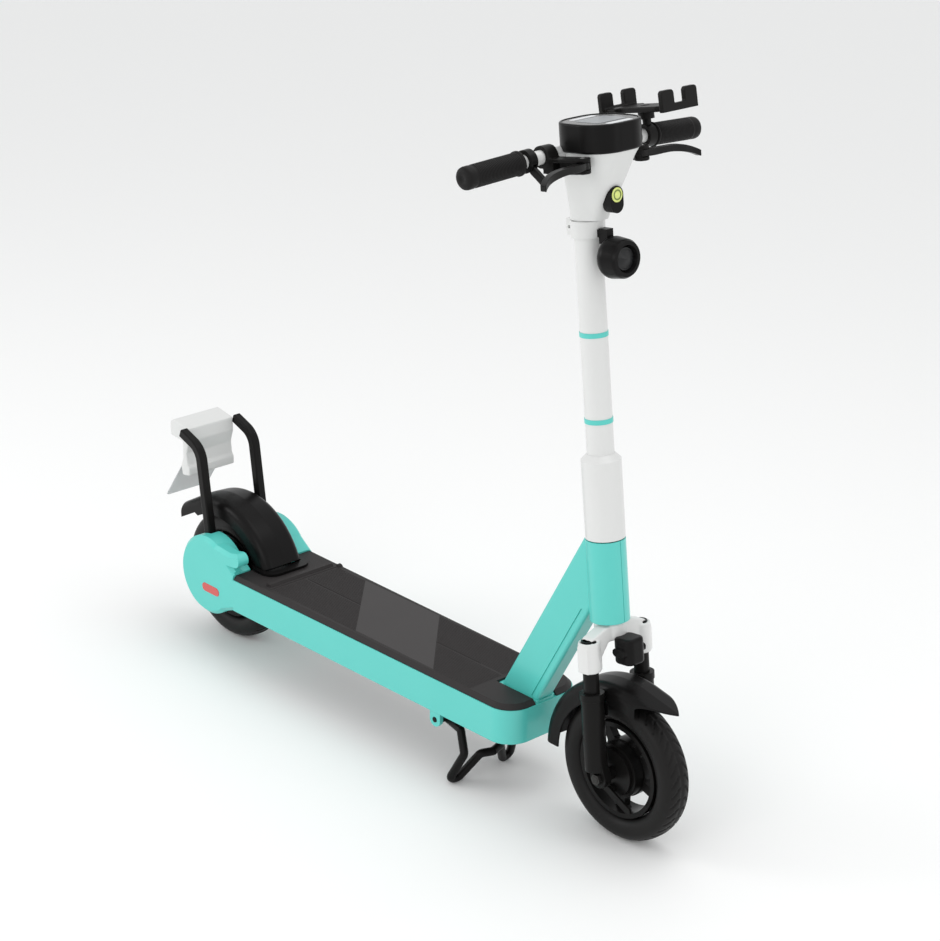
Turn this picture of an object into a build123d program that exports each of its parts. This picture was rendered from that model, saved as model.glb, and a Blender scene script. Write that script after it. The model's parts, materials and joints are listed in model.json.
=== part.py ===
from build123d import *
from math import cos, radians, sin, tan
import os

os.makedirs("parts", exist_ok=True)

# Electric kick scooter. +X is forward, +Y the rider's left, +Z up. The origin lies on the
# ground under the middle of the overall length. All sizes are in millimetres.

# ---------------------------------------------------------------- stance
wheelbase = 1045.0
tyre_radius = 127.0
tyre_width = 56.0
rear_overhang = 160.0          # rear axle to the back edge of the number plate
rake = 7.0                     # backward lean of the steering axis, degrees
axle_lead = 17.0               # front axle ahead of the steering axis
fit_gap = 0.3                  # gap between pieces that move past each other
slip_gap = 0.05                # radial clearance of a shaft in its bearing or slider

front_x = (wheelbase + rear_overhang - tyre_radius) / 2
rear_x = front_x - wheelbase
axle_z = tyre_radius

# ---------------------------------------------------------------- deck
deck_bottom = 111.0
deck_top = 175.5
deck_setback = 188.0           # deck nose behind the front axle
deck_reach = 110.0             # deck tail ahead of the rear axle
deck_half_front = 88.0
deck_half_rear = 97.0
deck_nose_radius = 46.0
deck_wall = 4.0
deck_edge_round = 3.0
wheel_notch_depth = 37.0       # cut-out in the deck tail for the rear tyre
wheel_notch_half = 45.5        # in the top skin; below it the notch reaches the axle plates
tail_casting = 12.0            # solid metal between that cut-out and the battery bay
cover_thickness = 3.0
screw_radius = 2.5
screw_boss_radius = 6.0
screw_inset = 13.0
mat_thickness = 9.0
mat_chamfer = 7.5
mat_inset = 1.5

deck_front = front_x - deck_setback
deck_rear = rear_x + deck_reach
notch_front = deck_rear + wheel_notch_depth
bay_rear = notch_front + tail_casting
mat_top = deck_top + mat_thickness

# ---------------------------------------------------------------- neck and head tube
neck_pad_margin = 5.0          # base pad wider than the neck, on each side
neck_pad_height = 5.0
neck_setback = 283.0           # rear foot of the neck behind the front axle
neck_depth = 88.0              # neck thickness along the deck
neck_half_width = 19.0
neck_edge_radius = 6.0
neck_wall = 4.0
head_radius = 33.0
head_low = 256.0               # along the steering axis, from axle level
head_high = 395.0
head_bore = 20.0
bearing_radius = 24.0
bearing_height = 11.0
steerer_radius = 17.0
steerer_bore = 13.5

# ---------------------------------------------------------------- stem, bar and head
sleeve_low = 397.0
sleeve_high = 538.0
sleeve_radius = 33.0
sleeve_chamfer = 10.0
stem_radius = 22.4
stem_wall = 3.0
stem_low = 430.0
case_margin = 2.6              # head case outside the stem at its foot
stem_shoulder = 975.0          # above this the tube steps down inside the head case
stem_neck_radius = 13.5
bar_height = 1027.0
bar_radius = 11.1
bar_half = 250.0
bar_bend_side = 94.0
bar_droop = 2.4                # degrees, outside the bend
collar_low = 889.0
collar_high = 916.0
collar_wall = 5.1
head_case_low = 918.0
head_case_high = 1029.0
collar_radius = stem_radius + collar_wall
display_length = 116.0
display_width = 116.0
display_radius = 46.0
display_ahead = 39.0
display_low = 1029.3
display_high = 1074.0
grip_radius = 18.0
grip_right_inner = 139.0
grip_left_inner = 151.0
lever_reach = 106.0
lever_range = 22.0

# ---------------------------------------------------------------- fork
leg_side = 59.0
leg_lead = 8.0
leg_radius = 19.0
leg_bore = 13.0 + slip_gap
stanchion_radius = 13.0
stanchion_wall = 2.5
stanchion_low = 66.0
leg_top = 148.0
socket_low = 184.0
socket_high = 236.0
socket_radius = 18.0
crown_high = 254.0
axle_radius = 6.0
dropout_inner = leg_side - 8
dropout_outer = leg_side + 7

# ---------------------------------------------------------------- wheels
rim_radius = 84.0
rim_half = 22.0
drum_radius = 48.0
drum_half = 28.0
drum_bore = 42.0
drum_cavity = 22.0
shoe_gap = 0.5
spoke_count = 5
spoke_width = 17.0
spoke_half = 7.0
first_spoke = 53.0             # above forward
rear_axle_radius = 7.0
motor_radius = 64.0
motor_half = 38.0
stator_radius = 55.0
stator_half = 14.0

# ---------------------------------------------------------------- fenders
front_fender_radius = 158.0
front_fender_half = 38.0
rear_fender_radius = 164.0
rear_fender_half = 45.0
fender_skin = 3.0
fender_crown = 3.0             # rise of the middle of the top over its edges
fender_corner = 18.0
fender_depth = 36.0

# ---------------------------------------------------------------- rear end
dropout_plate_inner = 46.5
dropout_plate = 8.0
housing_outer = 96.0
housing_wall = 3.5
lobe_ahead = 24.0              # centre of the side housing, from the rear axle
lobe_up = 29.0
lobe_radius = 78.0
ear_ahead = 116.0              # small round ear in front of the right housing only
ear_lift = 30.5                # its centre above the mat
ear_radius = 13.0
ear_depth = 24.0
arm_size = 17.0
plate_size = 100.0
plate_tilt = 35.0
plate_thickness = 2.0

# ---------------------------------------------------------------- stand
stand_setback = 374.0          # stand pin behind the front axle
stand_z = 97.0
stand_middle = -32.0           # the stand sits towards the rider's right
stand_pin_radius = 5.0
stand_rod_radius = 7.5
stand_sleeve_radius = 10.0
stand_lug_radius = 13.0
stand_lug_half_span = 52.0
stand_lug_thickness = 8.0

# ---------------------------------------------------------------- steering frame
rake_cos = cos(radians(rake))
rake_sin = sin(radians(rake))
foot_x = front_x - axle_lead * rake_cos
foot_z = axle_z - axle_lead * rake_sin


def at(ahead, side, height):
    """Point given ahead of, beside and up along the steering axis."""
    return Vector(
        foot_x + ahead * rake_cos - height * rake_sin,
        side,
        foot_z + ahead * rake_sin + height * rake_cos,
    )


def across(height, ahead=0.0, side=0.0):
    """Plane square to the steering axis: x ahead, y to the left, z up the axis."""
    return Plane(at(ahead, side, height), x_dir=(rake_cos, 0, rake_sin), z_dir=(-rake_sin, 0, rake_cos))


def beside(side=0.0, ahead=0.0, height=0.0):
    """Plane seen from the rider's right: x ahead, y up the axis, z towards -Y."""
    return Plane(at(ahead, side, height), x_dir=(rake_cos, 0, rake_sin), z_dir=(0, -1, 0))


def facing(ahead=0.0, side=0.0, height=0.0):
    """Plane seen from in front: x to the left, y up the axis, z forward."""
    return Plane(at(ahead, side, height), x_dir=(0, 1, 0), z_dir=(rake_cos, 0, rake_sin))


def on_bar(distance, hand):
    """Plane square to the handlebar, z outward; hand is 1 for left and -1 for right."""
    droop = radians(bar_droop) if distance > bar_bend_side else 0.0
    out = max(distance - bar_bend_side, 0.0) if droop else 0.0
    inner = min(distance, bar_bend_side) if droop else distance
    side = hand * (inner + out * cos(droop))
    drop = out * sin(droop)
    up = Vector(-rake_sin, 0, rake_cos)
    direction = Vector(0, hand * cos(droop), 0) - up * sin(droop)
    return Plane(at(0, side, bar_height - drop), x_dir=(rake_cos, 0, rake_sin), z_dir=direction)


def spoke_plane(x, z, angle):
    """Plane through a wheel's axle: x to the left, y outward at this angle above forward."""
    a = radians(angle)
    return Plane((x, 0, z), x_dir=(0, 1, 0), z_dir=(sin(a), 0, -cos(a)))


def axle_axis(x, z):
    return Axis((x, 0, z), (0, 1, 0))


def write(piece, name):
    piece.part.label = name
    export_step(piece.part, f"parts/{name}.step")


# ================================================================ deck
def deck_outline(inset, tail=deck_rear):
    """Plan of the deck: straight tapered sides and a rounded nose."""
    taper = (deck_half_rear - deck_half_front) / (deck_front - deck_rear)
    tail_half = deck_half_front + taper * (deck_front - tail)
    with BuildLine() as outline:
        Polyline(
            (tail, -(tail_half - inset)),
            (deck_front - inset, -(deck_half_front - inset)),
            (deck_front - inset, deck_half_front - inset),
            (tail, tail_half - inset),
            close=True,
        )
    make_face(outline.edges())
    fillet(vertices().group_by(Axis.X)[-1], deck_nose_radius - inset)


deck_length = deck_front - deck_rear
screw_rows = 5
screw_step = (deck_front - deck_nose_radius - bay_rear - 2 * screw_inset) / (screw_rows - 1)
screw_places = [
    (bay_rear + screw_inset + row * screw_step, hand * (deck_half_front - deck_wall - screw_inset + 4))
    for row in range(screw_rows)
    for hand in (-1, 1)
]
stand_x = front_x - stand_setback
right_lug_side = stand_middle - stand_lug_half_span
left_lug_side = stand_middle + stand_lug_half_span


def lug_profile(top):
    """Round-ended lug around the stand pin, drawn in the XZ plane."""
    with Locations((stand_x, stand_z)):
        Circle(stand_lug_radius)
    with Locations((stand_x, (stand_z + top) / 2)):
        Rectangle(2 * stand_lug_radius, top - stand_z)
    with Locations((stand_x, stand_z)):
        Circle(stand_pin_radius, mode=Mode.SUBTRACT)


with BuildPart() as deck_shell:
    with BuildSketch(Plane.XY.offset(deck_bottom)):
        deck_outline(0)
    extrude(amount=deck_top - deck_bottom)
    fillet(faces().sort_by(Axis.Z)[0].edges(), deck_edge_round)
    with BuildSketch(Plane.XY.offset(deck_bottom)):
        deck_outline(deck_wall, bay_rear)
    extrude(amount=deck_top - deck_bottom - deck_wall, mode=Mode.SUBTRACT)
    with BuildSketch(Plane.XY.offset(deck_bottom)):
        with Locations(((deck_rear + notch_front) / 2, 0)):
            Rectangle(wheel_notch_depth, 2 * wheel_notch_half)
    extrude(amount=deck_top - deck_bottom, mode=Mode.SUBTRACT)
    # below the top skin the cut-out is wider, to seat the axle plates
    with BuildSketch(Plane.XY.offset(deck_bottom)):
        with Locations(((deck_rear + notch_front) / 2, 0)):
            Rectangle(wheel_notch_depth, 2 * (dropout_plate_inner + dropout_plate + slip_gap))
    extrude(amount=deck_top - deck_bottom - deck_wall, mode=Mode.SUBTRACT)
    # bosses that the bottom cover screws into
    with BuildSketch(Plane.XY.offset(deck_bottom + cover_thickness)):
        with Locations(*screw_places):
            Circle(screw_boss_radius)
    extrude(amount=deck_top - deck_bottom - cover_thickness - deck_wall)
    with BuildSketch(Plane.XY.offset(deck_bottom)):
        with Locations(*screw_places):
            Circle(screw_radius + slip_gap)
    extrude(amount=20, mode=Mode.SUBTRACT)
    # right-hand lug of the stand, hanging from the side wall
    with BuildSketch(Plane.XZ.offset(-(right_lug_side - stand_lug_thickness / 2))):
        lug_profile(deck_bottom - fit_gap)
    extrude(amount=-stand_lug_thickness)
    with BuildSketch(Plane.XZ.offset(-(right_lug_side - stand_lug_thickness / 2))):
        with Locations((stand_x, deck_bottom + 1)):
            Rectangle(2 * stand_lug_radius, 16)
    extrude(amount=-(deck_wall - 2.4))
write(deck_shell, "deck_shell")

with BuildPart() as bottom_cover:
    with BuildSketch(Plane.XY.offset(deck_bottom)):
        deck_outline(deck_wall + fit_gap, bay_rear + fit_gap)
    extrude(amount=cover_thickness)
    with BuildSketch(Plane.XY.offset(deck_bottom)):
        with Locations(*screw_places):
            Circle(screw_radius + slip_gap)
    extrude(amount=cover_thickness, mode=Mode.SUBTRACT)
    with BuildSketch(Plane.XZ.offset(-(left_lug_side - stand_lug_thickness / 2))):
        lug_profile(deck_bottom + 0.5)
    extrude(amount=-stand_lug_thickness)
write(bottom_cover, "bottom_cover")

with BuildPart() as bottom_cover_screws:
    with BuildSketch(Plane.XY.offset(deck_bottom)):
        with Locations(*screw_places):
            Circle(screw_radius)
    extrude(amount=16)
    with BuildSketch(Plane.XY.offset(deck_bottom)):
        with Locations(*screw_places):
            Circle(4.5)
    extrude(amount=-2.6)
    with BuildSketch(Plane.XY.offset(deck_bottom - 2.6)):
        with Locations(*screw_places):
            RegularPolygon(1.7, 6)
    extrude(amount=1.6, mode=Mode.SUBTRACT)
write(bottom_cover_screws, "bottom_cover_screws")

controller_length = 80.0
battery_length = 470.0
battery_half = 66.0
battery_headroom = 7.2
bay_floor = deck_bottom + cover_thickness + fit_gap
battery_height = deck_top - deck_wall - battery_headroom - bay_floor

with BuildPart() as motor_controller:
    with BuildSketch(Plane.XY.offset(bay_floor)):
        with Locations((bay_rear + 6 + controller_length / 2, 0)):
            RectangleRounded(controller_length, 110, 6)
    extrude(amount=34)
    with BuildSketch(Plane.XY.offset(bay_floor + 34)):
        with Locations((bay_rear + 6 + controller_length / 2, 0)):
            with GridLocations(0, 12, 1, 8):
                Rectangle(controller_length - 16, 4)
    extrude(amount=8)
write(motor_controller, "motor_controller")

with BuildPart() as battery_pack:
    with BuildSketch(Plane.XY.offset(bay_floor)):
        with Locations((bay_rear + 14 + controller_length + battery_length / 2, 0)):
            RectangleRounded(battery_length, 2 * battery_half, 12)
    extrude(amount=battery_height)
    fillet(faces().sort_by(Axis.Z)[-1].edges(), 4)
write(battery_pack, "battery_pack")

# ---------------------------------------------------------------- neck frame
neck_back = front_x - neck_setback
neck_front = neck_back + neck_depth
axis_x_at = lambda z: foot_x - (z - foot_z) * tan(radians(rake))
head_top_z = at(0, 0, head_high).Z
neck_top_z = head_top_z - 6
neck_slope = (axis_x_at(neck_top_z) - head_radius / rake_cos - neck_back) / (neck_top_z - deck_top)
pad_back = neck_back - 3
pad_front = deck_front - 2
pad_half = neck_half_width + neck_pad_margin
neck_join_z = (axis_x_at(0) - neck_front + neck_slope * deck_top) / (neck_slope + tan(radians(rake)))

with BuildPart() as neck_frame:
    with BuildSketch(Plane.XZ):
        Polygon(
            (neck_back, deck_top),
            (neck_front, deck_top),
            (neck_front + neck_slope * (neck_join_z - deck_top), neck_join_z),
            (axis_x_at(neck_top_z), neck_top_z),
            (neck_back + neck_slope * (neck_top_z - deck_top), neck_top_z),
            align=None,
        )
    extrude(amount=neck_half_width, both=True)
    fillet(
        edges().filter_by(lambda e: abs(e.tangent_at(0).Y) < 0.1 and abs(e.tangent_at(0).Z) > 0.6),
        neck_edge_radius,
    )
    # the tube is hollow below the head tube
    with BuildSketch(Plane.XZ):
        hollow_top = neck_join_z - 20
        Polygon(
            (neck_back + neck_wall + 3, deck_top + neck_wall),
            (neck_front - neck_wall - 3, deck_top + neck_wall),
            (neck_front - neck_wall - 3 + neck_slope * (hollow_top - deck_top), hollow_top),
            (neck_back + neck_wall + 3 + neck_slope * (hollow_top - deck_top), hollow_top),
            align=None,
        )
    extrude(amount=neck_half_width - neck_wall, both=True, mode=Mode.SUBTRACT)
    # shallow groove down each side of the front face
    with BuildSketch(Plane.XZ.offset(neck_half_width)) as groove:
        with BuildLine():
            groove_x = neck_front - 12
            Polyline(
                (groove_x, deck_top + 10),
                (groove_x + 3, deck_top + 10),
                (groove_x + 3 + neck_slope * 200, deck_top + 210),
                (groove_x + neck_slope * 200, deck_top + 210),
                close=True,
            )
        make_face()
    extrude(amount=-2, mode=Mode.SUBTRACT)
    with BuildSketch(Plane.XZ.offset(-neck_half_width)):
        add(groove.sketch_local)
    extrude(amount=2, mode=Mode.SUBTRACT)
    with BuildSketch(Plane.XY.offset(deck_top)):
        with Locations(((pad_back + pad_front) / 2, 0)):
            RectangleRounded(pad_front - pad_back, 2 * pad_half, 8)
    extrude(amount=neck_pad_height)
    with BuildSketch(across(head_low)):
        Circle(head_radius)
    extrude(amount=head_high - head_low)
    with BuildSketch(across(head_low)):
        Circle(head_bore)
    extrude(amount=head_high - head_low, mode=Mode.SUBTRACT)
    with BuildSketch(across(head_low)):
        Circle(bearing_radius)
    extrude(amount=bearing_height + 1, mode=Mode.SUBTRACT)
    with BuildSketch(across(head_high)):
        Circle(bearing_radius)
    extrude(amount=-bearing_height - 1, mode=Mode.SUBTRACT)
    # parting line of the two painted castings, down the front of the head tube
    with BuildSketch(across(head_low, ahead=head_radius)):
        Rectangle(2, 1.2)
    extrude(amount=head_high - head_low, mode=Mode.SUBTRACT)
write(neck_frame, "neck_frame")

with BuildPart() as headset_bearings:
    with BuildSketch(across(head_low + 1)):
        Circle(bearing_radius)
        Circle(steerer_radius + slip_gap, mode=Mode.SUBTRACT)
    extrude(amount=bearing_height)
    with BuildSketch(across(head_high - 1)):
        Circle(bearing_radius)
        Circle(steerer_radius + slip_gap, mode=Mode.SUBTRACT)
    extrude(amount=-bearing_height)
write(headset_bearings, "headset_bearings")

# ---------------------------------------------------------------- mat
mat_rear = deck_rear + 2
mat_gap = 0.8
tail_step = 0.8
ridge_x = notch_front + 46

with BuildPart() as deck_mat:
    with BuildSketch(Plane.XY.offset(deck_top)):
        deck_outline(mat_inset, mat_rear)
    extrude(amount=mat_thickness)
    chamfer(
        faces().sort_by(Axis.Z)[-1].edges().filter_by(lambda e: e.center().X > mat_rear + 1),
        mat_chamfer,
    )
    with BuildSketch(Plane.XY.offset(deck_top)):
        with Locations(((pad_back + deck_front) / 2, 0)):
            Rectangle(deck_front - pad_back + 2 * mat_gap, 2 * (pad_half + mat_gap))
        with Locations((mat_rear + 19, 0)):
            Rectangle(wheel_notch_depth + 1, 2 * wheel_notch_half + 2)
    extrude(amount=mat_thickness, mode=Mode.SUBTRACT)
    # the tail of the mat, under the fender's flange, lies a little lower
    with BuildSketch(Plane.XY.offset(mat_top)):
        with Locations(((mat_rear + ridge_x) / 2 - 1, 0)):
            Rectangle(ridge_x - mat_rear + 2, 2 * deck_half_rear)
    extrude(amount=-tail_step, mode=Mode.SUBTRACT)
    # raised ridge across the mat at that step
    with BuildSketch(Plane.XZ):
        with Locations((ridge_x, mat_top - tail_step)):
            Trapezoid(16, 5 + tail_step, 60, align=(Align.CENTER, Align.MIN))
    extrude(amount=deck_half_rear - 22, both=True)
    # lengthwise groove down the middle
    with BuildSketch(Plane.XY.offset(mat_top)):
        with Locations(((neck_back + notch_front) / 2, 0)):
            Rectangle(neck_back - notch_front - 140, 1.6)
    extrude(amount=-0.8, mode=Mode.SUBTRACT)
write(deck_mat, "deck_mat")

# ================================================================ rear end
def housing_profile():
    """Side housing seen from the right: a big lobe round the axle that runs into the deck."""
    with Locations((rear_x + lobe_ahead, axle_z + lobe_up)):
        Circle(lobe_radius)
    Polygon(
        (rear_x + lobe_ahead + 40, axle_z + lobe_up + lobe_radius - 14),
        (mat_rear - fit_gap, mat_top + 2),
        (deck_rear, deck_top),
        (deck_rear, deck_bottom),
        (rear_x + lobe_ahead, axle_z + lobe_up - lobe_radius),
        align=None,
    )


ear_z = mat_top + ear_lift


def ear_profile():
    """Ear that reaches forward over the mat, undercut below."""
    with BuildLine() as ear:
        Polyline(
            (rear_x + lobe_ahead + 20, axle_z + lobe_up + lobe_radius - 6),
            (rear_x + ear_ahead - 18, ear_z + ear_radius - 4),
            (rear_x + ear_ahead - 2, ear_z + ear_radius),
            (rear_x + ear_ahead + 2, ear_z - ear_radius),
            (rear_x + ear_ahead - 16, ear_z - ear_radius - 2),
            (mat_rear - fit_gap, mat_top + 6),
            (rear_x + lobe_ahead + 40, axle_z + lobe_up),
            close=True,
        )
    make_face(ear.edges())
    with Locations((rear_x + ear_ahead, ear_z)):
        Circle(ear_radius)


housing_inner = dropout_plate_inner + dropout_plate + fit_gap
arm_side = dropout_plate_inner + dropout_plate + 0.1 + arm_size / 2
arm_foot = (rear_x + 9, axle_z + 38)
arm_bend = (rear_x - 24, axle_z + 264)
arm_end = (rear_x - 78, axle_z + 284)
arm_bend_radius = 38.0
arm_slot_x = arm_foot[0] + (arm_bend[0] - arm_foot[0]) * 0.24
marker_x = rear_x + 40
marker_z = axle_z + 5
marker_length = 52.0
marker_height = 17.0
marker_depth = 1.5


def build_housing(hand):
    """One side housing; hand is 1 for left and -1 for right."""
    with BuildPart() as housing:
        with BuildSketch(Plane.XZ.offset(-hand * housing_inner)):
            housing_profile()
        extrude(amount=-hand * (housing_outer - housing_inner))
        if hand < 0:
            with BuildSketch(Plane.XZ.offset(housing_outer - ear_depth)):
                ear_profile()
            extrude(amount=ear_depth)
        outer_face = faces().sort_by(Axis.Y)[-1 if hand > 0 else 0]
        chamfer(outer_face.edges().filter_by(lambda e: e.center().X < deck_rear - 2), 7)
        with BuildSketch(Plane.XZ.offset(-hand * housing_inner)):
            housing_profile()
            offset(amount=-housing_wall, mode=Mode.REPLACE)
        extrude(amount=-hand * (housing_outer - housing_inner - housing_wall - 4), mode=Mode.SUBTRACT)
        with BuildSketch(Plane.XZ.offset(-hand * housing_outer)):
            with Locations((marker_x, marker_z)):
                SlotOverall(marker_length, marker_height)
        extrude(amount=hand * marker_depth, mode=Mode.SUBTRACT)
        # slot in the top edge that the plate arm comes out of
        with BuildSketch(Plane.XY.offset(axle_z + 40)):
            with Locations((arm_slot_x, hand * (housing_inner + arm_size / 2))):
                Rectangle(arm_size + 12, arm_size + 3)
        extrude(amount=90, mode=Mode.SUBTRACT)
    return housing


for hand, name in ((-1, "rear_housing_right"), (1, "rear_housing_left")):
    write(build_housing(hand), name)

with BuildPart() as side_markers:
    for hand in (-1, 1):
        with BuildSketch(Plane.XZ.offset(-hand * (housing_outer - marker_depth))):
            with Locations((marker_x, marker_z)):
                SlotOverall(marker_length, marker_height)
        extrude(amount=-hand * (marker_depth + 0.8))
write(side_markers, "side_markers")

with BuildPart() as rear_dropouts:
    for hand in (-1, 1):
        with BuildSketch(Plane.XZ.offset(-hand * dropout_plate_inner)):
            with Locations((rear_x, axle_z)):
                Circle(30)
            Polygon(
                (rear_x - 26, axle_z + 15),
                (rear_x - 24, axle_z + 70),
                (rear_x + 14, axle_z + 70),
                (rear_x + 50, deck_top - deck_wall - 2),
                (notch_front - 1, deck_top - deck_wall - 2),
                (notch_front - 1, deck_bottom + 4),
                (rear_x + 24, axle_z - 18),
                align=None,
            )
            with Locations((rear_x, axle_z)):
                Circle(rear_axle_radius + slip_gap, mode=Mode.SUBTRACT)
        extrude(amount=-hand * dropout_plate)
write(rear_dropouts, "rear_dropouts")

nut_inner = dropout_plate_inner + dropout_plate
with BuildPart() as rear_axle:
    with BuildSketch(Plane.XZ.offset(nut_inner + 16)):
        with Locations((rear_x, axle_z)):
            Circle(rear_axle_radius)
    extrude(amount=-2 * (nut_inner + 16))
    for hand in (-1, 1):
        with BuildSketch(Plane.XZ.offset(-hand * nut_inner)):
            with Locations((rear_x, axle_z)):
                RegularPolygon(12, 6)
        extrude(amount=-hand * 11)
write(rear_axle, "rear_axle")

with BuildPart() as motor_stator:
    with BuildSketch(Plane.XZ.offset(stator_half)):
        with Locations((rear_x, axle_z)):
            Circle(stator_radius)
            with PolarLocations(stator_radius, 18):
                Rectangle(8, 4, mode=Mode.SUBTRACT)
            Circle(rear_axle_radius, mode=Mode.SUBTRACT)
    extrude(amount=-2 * stator_half)
write(motor_stator, "motor_stator")


def fender_section(radius, half):
    """Crowned fender section with rounded shoulders; y is the distance from the axle."""
    low = radius - fender_depth
    inner_half = half - fender_skin
    inner_radius = radius - fender_skin
    with BuildLine() as section:
        FilletPolyline(
            (-half, low),
            (-half, radius - fender_crown),
            (0, radius),
            (half, radius - fender_crown),
            (half, low),
            radius=fender_corner,
        )
        Line((half, low), (inner_half, low))
        FilletPolyline(
            (inner_half, low),
            (inner_half, inner_radius - fender_crown),
            (0, inner_radius),
            (-inner_half, inner_radius - fender_crown),
            (-inner_half, low),
            radius=fender_corner - fender_skin,
        )
        Line((-inner_half, low), (-half, low))
    make_face(section.edges())


rear_fender_front_angle = 24.0
rear_fender_tail_angle = 118.0
rear_tail_length = 66.0
tail_a = radians(rear_fender_tail_angle)
tail_back = (-sin(tail_a), cos(tail_a))
tail_in = (-cos(tail_a), -sin(tail_a))


def tail_point(along, depth):
    """Point of the fender's straight tail, this far along it and below its top."""
    reach = rear_fender_radius - depth
    return (
        rear_x + reach * cos(tail_a) + along * tail_back[0],
        axle_z + reach * sin(tail_a) + along * tail_back[1],
    )


with BuildPart() as rear_fender:
    with BuildSketch(spoke_plane(rear_x, axle_z, rear_fender_tail_angle)):
        fender_section(rear_fender_radius, rear_fender_half)
    revolve(axis=axle_axis(rear_x, axle_z), revolution_arc=rear_fender_tail_angle - rear_fender_front_angle)
    # tail that runs off straight; its sides are cut back to a slanting lip
    with BuildSketch(spoke_plane(rear_x, axle_z, rear_fender_tail_angle)):
        fender_section(rear_fender_radius, rear_fender_half)
    extrude(amount=-rear_tail_length)
    with BuildSketch(Plane.XZ.offset(rear_fender_half + 5)):
        Polygon(
            tail_point(rear_tail_length - 22, -10),
            tail_point(rear_tail_length + 10, -10),
            tail_point(rear_tail_length + 10, fender_depth + 10),
            tail_point(rear_tail_length + 4, fender_depth + 10),
            align=None,
        )
        Polygon(
            tail_point(-4, fender_depth + 10),
            tail_point(12, fender_depth - 8),
            tail_point(rear_tail_length + 10, fender_depth - 8),
            tail_point(rear_tail_length + 10, fender_depth + 10),
            align=None,
        )
    extrude(amount=-2 * (rear_fender_half + 5), mode=Mode.SUBTRACT)
    # flange that lies on the mat round the front of the fender
    with BuildSketch(Plane.XY.offset(mat_top - tail_step + fit_gap)):
        with Locations((rear_x + 134, 0)):
            RectangleRounded(70, 2 * rear_fender_half + 16, 26)
        with Locations((rear_x + 108, 0)):
            Rectangle(74, 2 * (rear_fender_half - fender_skin))
    extrude(amount=5)
    with BuildSketch(Plane.XY.offset(mat_top - tail_step + fit_gap)):
        with Locations((rear_x + 108, 0)):
            Rectangle(74, 2 * (rear_fender_half - fender_skin))
    extrude(amount=5, mode=Mode.SUBTRACT)
write(rear_fender, "rear_fender")

# ---------------------------------------------------------------- number plate bracket
carrier_half = arm_side - arm_size / 2 - 0.2
plate_edge_x = rear_x - rear_overhang + plate_thickness * cos(radians(plate_tilt))
plate_edge_z = axle_z + 126
plate_top_x = plate_edge_x + plate_size * sin(radians(plate_tilt))
plate_top_z = plate_edge_z + plate_size * cos(radians(plate_tilt))

with BuildPart() as plate_arms:
    for hand in (-1, 1):
        with BuildLine(Plane.XZ.offset(-hand * arm_side)) as arm_path:
            FilletPolyline(arm_foot, arm_bend, arm_end, radius=arm_bend_radius)
        with BuildSketch(Plane(arm_path.line @ 0, x_dir=(0, 1, 0), z_dir=arm_path.line % 0)):
            RectangleRounded(arm_size, arm_size, 3)
        sweep(path=arm_path.line)
write(plate_arms, "plate_arms")

with BuildPart() as plate_carrier:
    with BuildSketch(Plane.XZ):
        with BuildLine():
            Polyline(
                (rear_x - 76, axle_z + 288),
                (rear_x - 74, axle_z + 262),
                (rear_x - 82, axle_z + 236),
                (rear_x - 79, axle_z + 214),
                (rear_x - 74, axle_z + 208),
                (rear_x - 74, axle_z + 192),
                (plate_top_x + 4, plate_top_z - 20),
                (plate_top_x, plate_top_z),
                (rear_x - 94, axle_z + 226),
                (rear_x - 94, axle_z + 258),
                (rear_x - 132, axle_z + 262),
                (rear_x - 132, axle_z + 290),
                (rear_x - 122, axle_z + 296),
                close=True,
            )
        make_face()
    extrude(amount=carrier_half, both=True)
    fillet(edges().filter_by(Axis.Y).group_by(Axis.Z)[-1], 3)
write(plate_carrier, "plate_carrier")

plate_plane = Plane(
    ((plate_edge_x + plate_top_x) / 2, 0, (plate_edge_z + plate_top_z) / 2),
    x_dir=(0, 1, 0),
    z_dir=(-cos(radians(plate_tilt)), 0, sin(radians(plate_tilt))),
)
with BuildPart() as number_plate:
    with BuildSketch(plate_plane):
        RectangleRounded(plate_size, plate_size, 6)
    extrude(amount=plate_thickness)
write(number_plate, "number_plate")

with BuildPart() as tail_lamp_lens:
    with BuildSketch(Plane.YZ.offset(rear_x - 132)):
        with Locations((0, axle_z + 276)):
            RectangleRounded(2 * carrier_half - 16, 22, 8)
    extrude(amount=-4)
    fillet(faces().sort_by(Axis.X)[0].edges(), 2)
write(tail_lamp_lens, "tail_lamp_lens")

# ================================================================ stand
with BuildPart() as stand_pin:
    with BuildSketch(Plane.XZ.offset(-(right_lug_side - stand_lug_thickness / 2 - 1.5))):
        with Locations((stand_x, stand_z)):
            Circle(stand_pin_radius)
    extrude(amount=-(2 * stand_lug_half_span + stand_lug_thickness + 3))
write(stand_pin, "stand_pin")

sleeve_half = stand_lug_half_span - stand_lug_thickness / 2 - fit_gap
knee_x = stand_x + 81
foot_end_x = stand_x + 56
foot_spread = 73.0

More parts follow.
